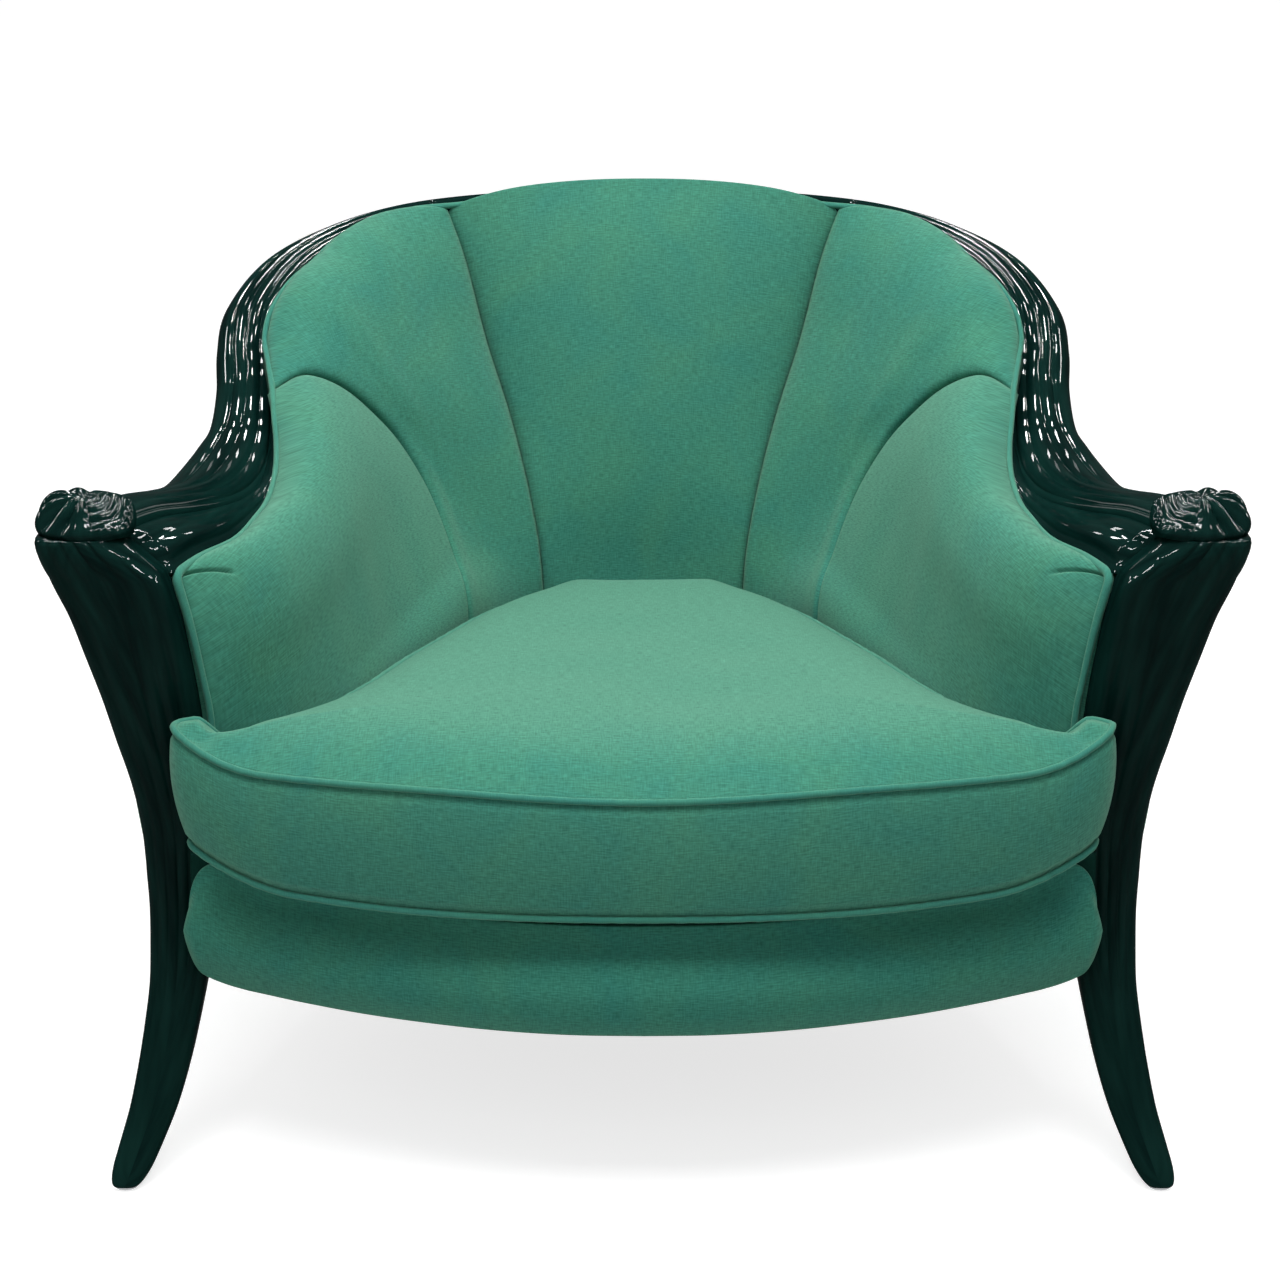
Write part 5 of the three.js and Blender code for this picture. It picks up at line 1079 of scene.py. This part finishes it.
def droop(y):
    """The lower front edge hangs over the apron: 8 mm at the front, nothing 12% further back."""
    span = 0.12 * (CUSHION_BACK_Y - CUSHION_FRONT_Y)
    return 8.0 * smooth((CUSHION_FRONT_Y + span - y) / span)


def edge_distance(points):
    """Least distance from each plan point to the outline's straight steps."""
    a = outline[::2]
    b = np.roll(a, -1, axis=0)
    d = b - a
    rel = points[:, None] - a[None]
    f = np.clip((rel * d).sum(-1) / (d * d).sum(-1), 0, 1)
    return np.linalg.norm(rel - f[..., None] * d, axis=-1).min(axis=1)


# %% [markdown]
# Band, crown and seams
#
# Going round the section, the cushion is a flat underside, a band that bellies a little, a groove at each
# seam where the piping sits, and the crown. Each is a set of rings of the same outline, so they stack into
# one closed body, and puckers beside the seams come from a few waves along the outline.

# %% Cushion body
round_length = np.linspace(0, 1, CUSHION_COUNT, endpoint=False)
PUCKER_WAVES = ((97, 0.1), (131, 0.6), (173, 0.35))      # waves round the outline, and where they start
puckers = sum(np.sin(2 * np.pi * (k * round_length + p)) for k, p in PUCKER_WAVES) / len(PUCKER_WAVES)
PUCKER_DEPTH, BAND_BELLY, BAND_TAPER = 0.7, 9.0, 0.025


def band_ring(offset, rise, lift=0.0, bulge=0.0):
    """A ring of the band: the outline moved outwards by offset and bulge, at a share of the height.
    Near the two seams the stitches pull small puckers into the cloth."""
    ahead = smooth((SCROLL_Y - outline[:, 1]) / WELT / 4)
    near = np.exp(-min(rise, 1 - rise) * CUSHION_TALL / 9.0)
    reach = offset + bulge * mix(0.2, 1.0, ahead) + PUCKER_DEPTH * near * puckers * (offset > -1)
    x = (outline[:, 0] + reach * normals[:, 0]) * mix(1 - BAND_TAPER, 1, rise)
    y = outline[:, 1] + reach * normals[:, 1]
    z = (CUSHION_LOW + CUSHION_TALL * rise + lift + ear_rise(outline[:, 0], outline[:, 1], rise)
         + side_rise(outline[:, 0]) * rise - droop(outline[:, 1]) * (1 - rise))
    return np.stack([x, y, z], axis=-1)


def drawn_in(offset, scale):
    """Plan points of the outline drawn in towards the cushion's middle."""
    x, y = (outline + offset * normals).T
    return scale * x, mix(CUSHION_MIDDLE_Y, y, scale)


def crown_ring(offset, scale):
    """A ring of the top, raised by crown * (1 - exp(-(distance to the edge / 42)^1.15)), the ears less."""
    x, y = drawn_in(offset, scale)
    d = edge_distance(np.stack([x, y], axis=-1))
    flat = 1 - 0.60 * smooth((np.abs(x) / HALF_WIDTH - 0.70) / 0.05)
    z = (CUSHION_LOW + CUSHION_TALL + side_rise(x) + ear_rise(x, y)
         + flat * CUSHION_CROWN * (1 - np.exp(-((d / 42.0) ** 1.15))) + 0.5 * puckers * np.exp(-d / 10.0))
    grid = np.stack([x, y, z], axis=-1)
    return grid + UP * (ripples(grid, 11, 240.0, 2.5) * (1 - np.exp(-d / 60.0)))[:, None]


seam_inset = -(WELT + 1.2)
scales = np.concatenate([1 - 0.05 * np.linspace(0, 1, 12)[1:] ** 1.4, np.linspace(0.94, 0.01, 60)])
bottom = [np.column_stack([*drawn_in(0, s), np.full(CUSHION_COUNT, CUSHION_LOW - WELT + 0.6)])
          for s in np.linspace(0.03, 0.84, 12)]
edge_shares = [(-2.4, 0.0, -1.2), (-2.4, 0.0, 0.0), (-2.4, 0.0, 1.2), (-1.0, 0.0, 3.0), (-0.2, 0.0, 6.0)]
band = [band_ring(offset, rise, lift) for offset, rise, lift in edge_shares]
band += [band_ring(0, k, 0, BAND_BELLY * np.sin(np.pi * k) ** 0.7) for k in np.linspace(0.10, 0.90, 40)]
band += [band_ring(offset, 1 - rise, -lift) for offset, rise, lift in edge_shares[::-1]]
top = [crown_ring(seam_inset, s) for s in scales]
points, faces, cloth = stack(bottom + band + top)
on_top = faces.min(axis=1) >= (len(bottom) + len(band)) * CUSHION_COUNT
cloth[on_top] = points[faces[on_top]][..., :2]
padded_piece("loose_cushion", (points, faces, cloth), COVER, "cushion", "seat_cushion")
for name, rise in (("bottom", 0), ("top", 1)):
    welt = stack(tube(band_ring(0, rise), WELT, 14, True), closed=True)
    build(f"cushion_piping_{name}", [welt], CORD, "cushion", f"cushion_welt_{name}")

# %% [markdown]
# The apron
#
# Below the cushion a bowed front rail is padded and covered. The face is full in the middle and its ends
# are rounded over where they meet the posts.

# %% Apron
APRON_LINE = row_curve([
    [0.000, 1.000], [0.150, 0.985], [0.300, 0.925], [0.450, 0.820], [0.600, 0.680],
    [0.740, 0.510], [0.850, 0.355], [0.940, 0.235], [1.000, 0.175],
])
APRON_END_X, FRONT_BOW_Y = HALF_WIDTH * 0.794, -445.0
APRON_LOW, APRON_TALL, APRON_LIFT, APRON_SWELL = 161.0, 113.0, 18.0, 7.0
CORNER_RADIUS, END_RADIUS, END_REACH, END_LIFT = 34.0, 62.0, 110.0, 20.0
APRON_COUNT = 110
APRON_SECTION = row_curve([
    [1.00, 0.03, 0.0], [0.45, 0.00, 0.0], [0.10, 0.07, 0.0], [0.00, 0.24, 0.8], [0.00, 0.42, 1.0],
    [0.28, 0.60, 0.6], [0.84, 0.78, 0.0], [1.00, 0.92, 0.0],
])


def apron_point(s, inset):
    """A point of the bow at a share of its half length, moved inwards by inset."""
    row = APRON_LINE(s)
    step = 1 / 72
    d = APRON_LINE(np.minimum(1, s + step)) - APRON_LINE(np.maximum(0, s - step))
    along = unit(np.stack([APRON_END_X * d[..., 0], (FRONT_BOW_Y - LEG_FRONT_Y) * d[..., 1]], axis=-1))
    x = APRON_END_X * row[..., 0] - along[..., 1] * inset
    y = mix(LEG_FRONT_Y, FRONT_BOW_Y, row[..., 1]) + along[..., 0] * inset
    return x, y


def rounded_drop(distance, radius):
    """How far a corner of a radius falls at a distance from its end: R (1 - sqrt(1 - (1 - d / R)^2))."""
    return radius * (1 - np.sqrt(1 - np.maximum(0, 1 - distance / radius) ** 2))


def apron_rings():
    """Rings along the bow. The lower edge runs up towards the ends, the top falls over at a larger
    radius, and the face swells less where the ends are drawn in."""
    f = 1 - (1 - np.linspace(0, 1, APRON_COUNT)) ** 1.35
    bow = np.stack(apron_point(np.linspace(0, 1, 200), 0), axis=-1)
    left = (1 - f) * travelled(bow)[-1]
    low = (APRON_LOW + 0.8 * rounded_drop(left, CORNER_RADIUS)
           + END_LIFT * np.maximum(0, 1 - left / END_REACH) ** 2)
    high = APRON_LOW + APRON_TALL + APRON_LIFT * smooth((f - 0.70) / 0.18) - rounded_drop(left, END_RADIUS)
    thick = mix(20.0, 10.0, smooth((f - 0.78) / 0.2))
    swell = APRON_SWELL - 5.0 * np.maximum(0, 1 - left / CORNER_RADIUS) ** 2
    section = APRON_SECTION(np.linspace(0, 1, 56))
    inset = section[None, :, 0] * thick[:, None] - section[None, :, 2] * swell[:, None]
    x, y = apron_point(np.broadcast_to(f[:, None], inset.shape), inset)
    z = mix(low[:, None], high[:, None], section[None, :, 1])
    half = np.stack([x, y, z], axis=-1)
    return np.concatenate([(half * FLIP)[::-1][:-1], half], axis=0)


padded_piece("padded_apron", stack(apron_rings(), flip_map=True), OUTSIDE, "chair", "front_apron")

# %% [markdown]
# Outside arms and back
#
# The outside is one cover pulled tight from the underside of the rail to the seat rails, in three panels
# that are sewn together over the rear legs.

# %% Outside covers
RAIL_SHARE = 0.377               # the height at which the side rail meets the post
leg_outer = HALF_WIDTH * float(POST_SIDE(RAIL_SHARE)[0])
leg_face, leg_back, leg_width = (float(v) for v in post_sizes(RAIL_SHARE))
REAR_CORNER_X, REAR_HALF, COVER_REACH, SIDE_RAIL_HALF = 256.0, REAR_LEG_SIZE / 2, 8.3, 14.0
SIDE_FRONT = np.array([(leg_outer - leg_width + leg_outer) / 2, (leg_face + leg_back) / 2])
SIDE_REAR = np.array([REAR_CORNER_X + 7.0, REAR_LEG_Y])
along_x, along_y = SIDE_REAR - SIDE_FRONT
side_away = np.array([along_y, -along_x]) / np.hypot(along_x, along_y)
cover_rear_y, cover_side_x = (middle + REAR_HALF + COVER_REACH for middle in (REAR_LEG_Y, REAR_CORNER_X))
outside_foot = row_curve(np.array(
    [mix(SIDE_FRONT, SIDE_REAR, s) + (SIDE_RAIL_HALF + COVER_REACH) * side_away
     for s in (0.00, 0.11, 0.22, 0.33, 0.45, 0.57, 0.70, 0.83, 0.95)]
    + [[cover_side_x, mix(REAR_LEG_Y, cover_rear_y, 0.45)], [mix(REAR_CORNER_X, cover_side_x, 0.55), cover_rear_y]]
    + [[REAR_CORNER_X * 0.55, cover_rear_y], [0.0, cover_rear_y]]
))
COVER_LOW, COVER_BELLY, COVER_THICK = 176.0, 6.0, 8.0
CORNER_SEAM, SEAM_GAP = 0.79, 0.001          # where along the foot line the covers are sewn together


def outside_cover(start, end, nu, ns):
    """Straight threads from the seat rail to the rail above, bellied out by 6 sin(pi s)."""
    u = np.linspace(start, end, nu)
    s = np.linspace(0, 1, ns)[:, None, None]
    sign = np.where(u > 1, -1.0, 1.0)
    w = np.where(u > 1, 2 - u, u)
    t = mix(0.04, 1, w)
    at, up, out, width = rail_frame(t)
    top = at + 0.26 * width[:, None] * out - 0.56 * RAIL_THICK * up
    foot = outside_foot(w)
    low = np.column_stack([foot, np.full(nu, COVER_LOW)])
    p = mix(low[None], top[None], s)
    away = unit(out * [1, 1, 0])[None]
    belly = COVER_BELLY * np.sin(np.pi * s)
    flip = np.stack([sign, np.ones(nu), np.ones(nu)], axis=-1)[None]
    return (p + away * belly) * flip, (p + away * (belly - COVER_THICK)) * flip


side_panel = panel(*outside_cover(0, CORNER_SEAM - SEAM_GAP, 150, 40))
back_panel = panel(*outside_cover(CORNER_SEAM + SEAM_GAP, 2 - CORNER_SEAM - SEAM_GAP, 150, 40))
for side, turned in SIDES:
    padded_piece(f"outside_arm_cover_{side}", turned(side_panel), OUTSIDE, "chair", f"outside_arm_{side}")
padded_piece("outside_back_cover", back_panel, OUTSIDE, "chair", "outside_back")

# %% [markdown]
# Light
#
# The chair stands in a plain pale studio. One broad lamp overhead and a weak one in front model the
# velvet's swell, and the gloss doesn't see either. Lacquer this dark shows lamps and little else, so short
# strips hang in an arc over each arm, with a few more to each side. They are kept out of the diffuse
# light: only the gloss mirrors them, as the broken white dashes along the reeds.

# %% Lamps
def area_light(name, at, aim, size, power):
    """A rectangular lamp turned towards a point, itself unseen by the camera."""
    lamp = bpy.data.lights.new(name, "AREA")
    lamp.shape, lamp.size, lamp.size_y, lamp.energy = "RECTANGLE", size[0], size[1], power
    lamp_object = bpy.data.objects.new(name, lamp)
    lamp_object.location = at
    lamp_object.rotation_euler = (Vector(aim) - Vector(at)).to_track_quat("-Z", "Y").to_euler()
    lamp_object.visible_camera = False
    bpy.context.scene.collection.objects.link(lamp_object)
    return lamp_object


for softbox in (area_light("overhead_softbox", (0.0, -0.7, 2.9), (0, -0.1, 0.4), (2.4, 1.8), 88.0),
                area_light("front_softbox", (-0.5, -3.0, 2.2), (0, 0, 0.45), (2.0, 1.2), 9.0)):
    softbox.visible_glossy = False
ARC_X, ARC_Z, ARC_RADIUS = 0.70, 0.70, 2.1   # metres: the middle of each arc, and its radius
ARC_LAMPS = [(24, 3.0), (34, 30.0), (45, 120.0), (55, 190.0), (64, 190.0), (73, 190.0), (82, 190.0),
             (91, 190.0), (100, 190.0), (110, 110.0)]        # degrees from the rear, and watts
FAR_LAMPS = [(1.5, -0.6, 2.3), (1.7, -0.2, 2.1), (1.3, -1.0, 2.5), (2.2, 0.4, 1.8), (2.0, 0.9, 2.1),
             (2.4, 0.0, 1.5)]


def strip_pair(name, at, aim, size, power):
    """Two lamps for the gloss alone, one on each side of the chair."""
    for side, sign in (("left", -1), ("right", 1)):
        strip = area_light(name.format(side), (sign * at[0], *at[1:]), (sign * aim[0], *aim[1:]), size, power)
        strip.visible_diffuse = False


for row, (degrees, power) in enumerate(ARC_LAMPS):
    turn = math.radians(degrees)
    at = (ARC_X, ARC_RADIUS * math.cos(turn), ARC_Z + ARC_RADIUS * math.sin(turn))
    strip_pair(f"strip_{{}}_{row}", at, (ARC_X, 0.0, ARC_Z), (0.28, 0.14), power)
for row, at in enumerate(FAR_LAMPS):
    strip_pair(f"far_strip_{{}}_{row}", at, (0.5, -0.3, 0.6), (0.34, 0.16), 85.0)

# %% [markdown]
# Studio
#
# A white room would light the chair from everywhere and wash it out. So the world is white only where it
# is looked at, and the light it gives is bright overhead and dim round the horizon. The floor is a pale
# grey that takes a soft shadow, brightened for the eye in the same way.

# %% Studio walls and floor
def seen_directly(tree):
    """1 for camera, glossy and transmission rays, 0 for the rays that light the chair: their maximum."""
    path = node(tree, "ShaderNodeLightPath").outputs
    seen = maths(tree, "MAXIMUM", path["Is Camera Ray"], path["Is Glossy Ray"])
    return maths(tree, "MAXIMUM", seen, path["Is Transmission Ray"])


def studio_world():
    """Plain white where it is seen; else a grey that rises with the height of the direction."""
    world = bpy.data.worlds.new("studio")
    bpy.context.scene.world = world
    world.use_nodes = True
    tree = world.node_tree
    split = node(tree, "ShaderNodeSeparateXYZ")
    tree.links.new(node(tree, "ShaderNodeTexCoord").outputs["Generated"], split.inputs[0])
    shade = ramp(tree, split.outputs["Z"], [(0.05, 0.08), (0.45, 0.44), (0.75, 0.54)])
    backdrop = mix_colour(tree, seen_directly(tree), shade, (1, 1, 1, 1))
    feed(tree, tree.nodes["Background"], {"Color": backdrop, "Strength": 1.0})


def pale_ground():
    """A diffuse pale floor that takes the chair's shadow. Rays that see it directly also get some plain
    white, which brings its far part up to the white of the backdrop."""
    material, tree, shader = new_material("pale_ground")
    feed(tree, shader, {"Base Color": (0.55, 0.55, 0.55, 1), "Roughness": 0.9, "Specular IOR Level": 0.0})
    glow = node(tree, "ShaderNodeEmission", Strength=maths(tree, "MULTIPLY", seen_directly(tree), 0.74))
    both = node(tree, "ShaderNodeAddShader")
    tree.links.new(shader.outputs[0], both.inputs[0])
    tree.links.new(glow.outputs[0], both.inputs[1])
    tree.links.new(both.outputs[0], tree.nodes["Material Output"].inputs["Surface"])
    return material


studio_world()
FLOOR_REACH = 30
ground_mesh = bpy.data.meshes.new("ground")
ground_mesh.from_pydata([(x * FLOOR_REACH, y * FLOOR_REACH, 0) for x, y in ((-1, -1), (1, -1), (1, 1), (-1, 1))],
                        [], [(0, 1, 2, 3)])
ground = bpy.data.objects.new("ground", ground_mesh)
bpy.context.scene.collection.objects.link(ground)
ground_mesh.materials.append(pale_ground())
print("floor:", ground.name)

# %% [markdown]
# Camera
#
# Furniture is pictured through a long lens, so that its sides stay upright and its front isn't swollen.
# The camera stands about three metres off and looks down at 17 degrees.

# %% Camera
SENSOR_WIDTH, LENS, SHIFT_PIXELS, PICTURE_WIDTH, LOOKING_DOWN = 36.0, 84.375, -3, 1280, 17.0
camera_data = bpy.data.cameras.new("camera")
camera_data.sensor_width, camera_data.lens = SENSOR_WIDTH, LENS
camera_data.shift_x = SHIFT_PIXELS / PICTURE_WIDTH
camera = bpy.data.objects.new("camera", camera_data)
camera.location = (0.0, -2.9409 + SHIFT[1] * MM, 1.3038 + SHIFT[2] * MM)
camera.rotation_euler = (math.radians(90.0 - LOOKING_DOWN), 0.0, 0.0)
bpy.context.scene.collection.objects.link(camera)
bpy.context.scene.camera = camera
bpy.context.scene.view_settings.view_transform = "Standard"
print("camera:", [round(v, 3) for v in camera.location], "lens", LENS)

# %% [markdown]
# Frame and fittings
#
# The hidden frame keeps its own solids: beech rails and stretchers, dowels, screws, webbing and glides.
# Each gets a plain but real finish, except the front rail and its corner blocks: they get the dark deck cloth
# in place of beech, as painted shade where they show between apron and post under the cushion.

# %% Frame finishes
def plain(name, first, second, roughness, scale=(1, 1, 1), size=30.0, metallic=0.0):
    """Two close colours in a stretched noise, with a slight bump. Only metal keeps its gloss."""
    material, tree, shader = new_material(name)
    place = node(tree, "ShaderNodeTexCoord").outputs["Object"]
    grain = noise(tree, stretched(tree, place, scale), Scale=size, Detail=5.0, Roughness=0.6)
    bumped(tree, shader, grain, 0.2, 0.0003)
    feed(tree, shader, {
        "Base Color": mix_colour(tree, grain, first, second), "Roughness": roughness,
        "Metallic": metallic, "Specular IOR Level": 0.5 if metallic else 0.0,
    })
    return material


beech = plain("beech_frame", rgb(176, 138, 92), rgb(202, 166, 118), 0.7, (1, 1, 8), 14.0)
birch = plain("birch_dowel", rgb(196, 164, 118), rgb(214, 186, 142), 0.65, (1, 1, 6), 20.0)
steel = plain("zinc_screw", rgb(140, 142, 146), rgb(168, 170, 172), 0.38, size=180.0, metallic=1.0)
nickel = plain("nickel_glide", rgb(176, 178, 180), rgb(196, 196, 198), 0.22, size=120.0, metallic=1.0)
jute = plain("jute_strap", rgb(128, 106, 70), rgb(166, 142, 100), 0.95, (1, 6, 1), 220.0)
deck_cloth = plain("deck_cloth", rgb(14, 44, 38), rgb(22, 56, 48), 0.95, size=260.0)
cambric = plain("dust_cloth", rgb(20, 21, 23), rgb(32, 33, 36), 0.95, size=300.0)
finish_of = {"beech": beech, "birch": birch, "steel": steel, "nickel": nickel, "webbing": jute,
             "deck_cloth": deck_cloth, "cambric": cambric}
slots = {p["node"]: p["material_slot"] for p in frame["record"]["subparts"]}
# Painted shade: these beech parts take the dark deck cloth, so that the gap under the cushion reads dark.
DARKENED_AS_SHADE = ("front_seat_rail", "front_corner_block_left", "front_corner_block_right")
for name, solid in frame["nodes"].items():
    if slots[name] in finish_of:
        solid.data.materials.clear()
        solid.data.materials.append(deck_cloth if name in DARKENED_AS_SHADE else finish_of[slots[name]])
print("finished solids:", sum(slots[n] in finish_of for n in frame["nodes"]))
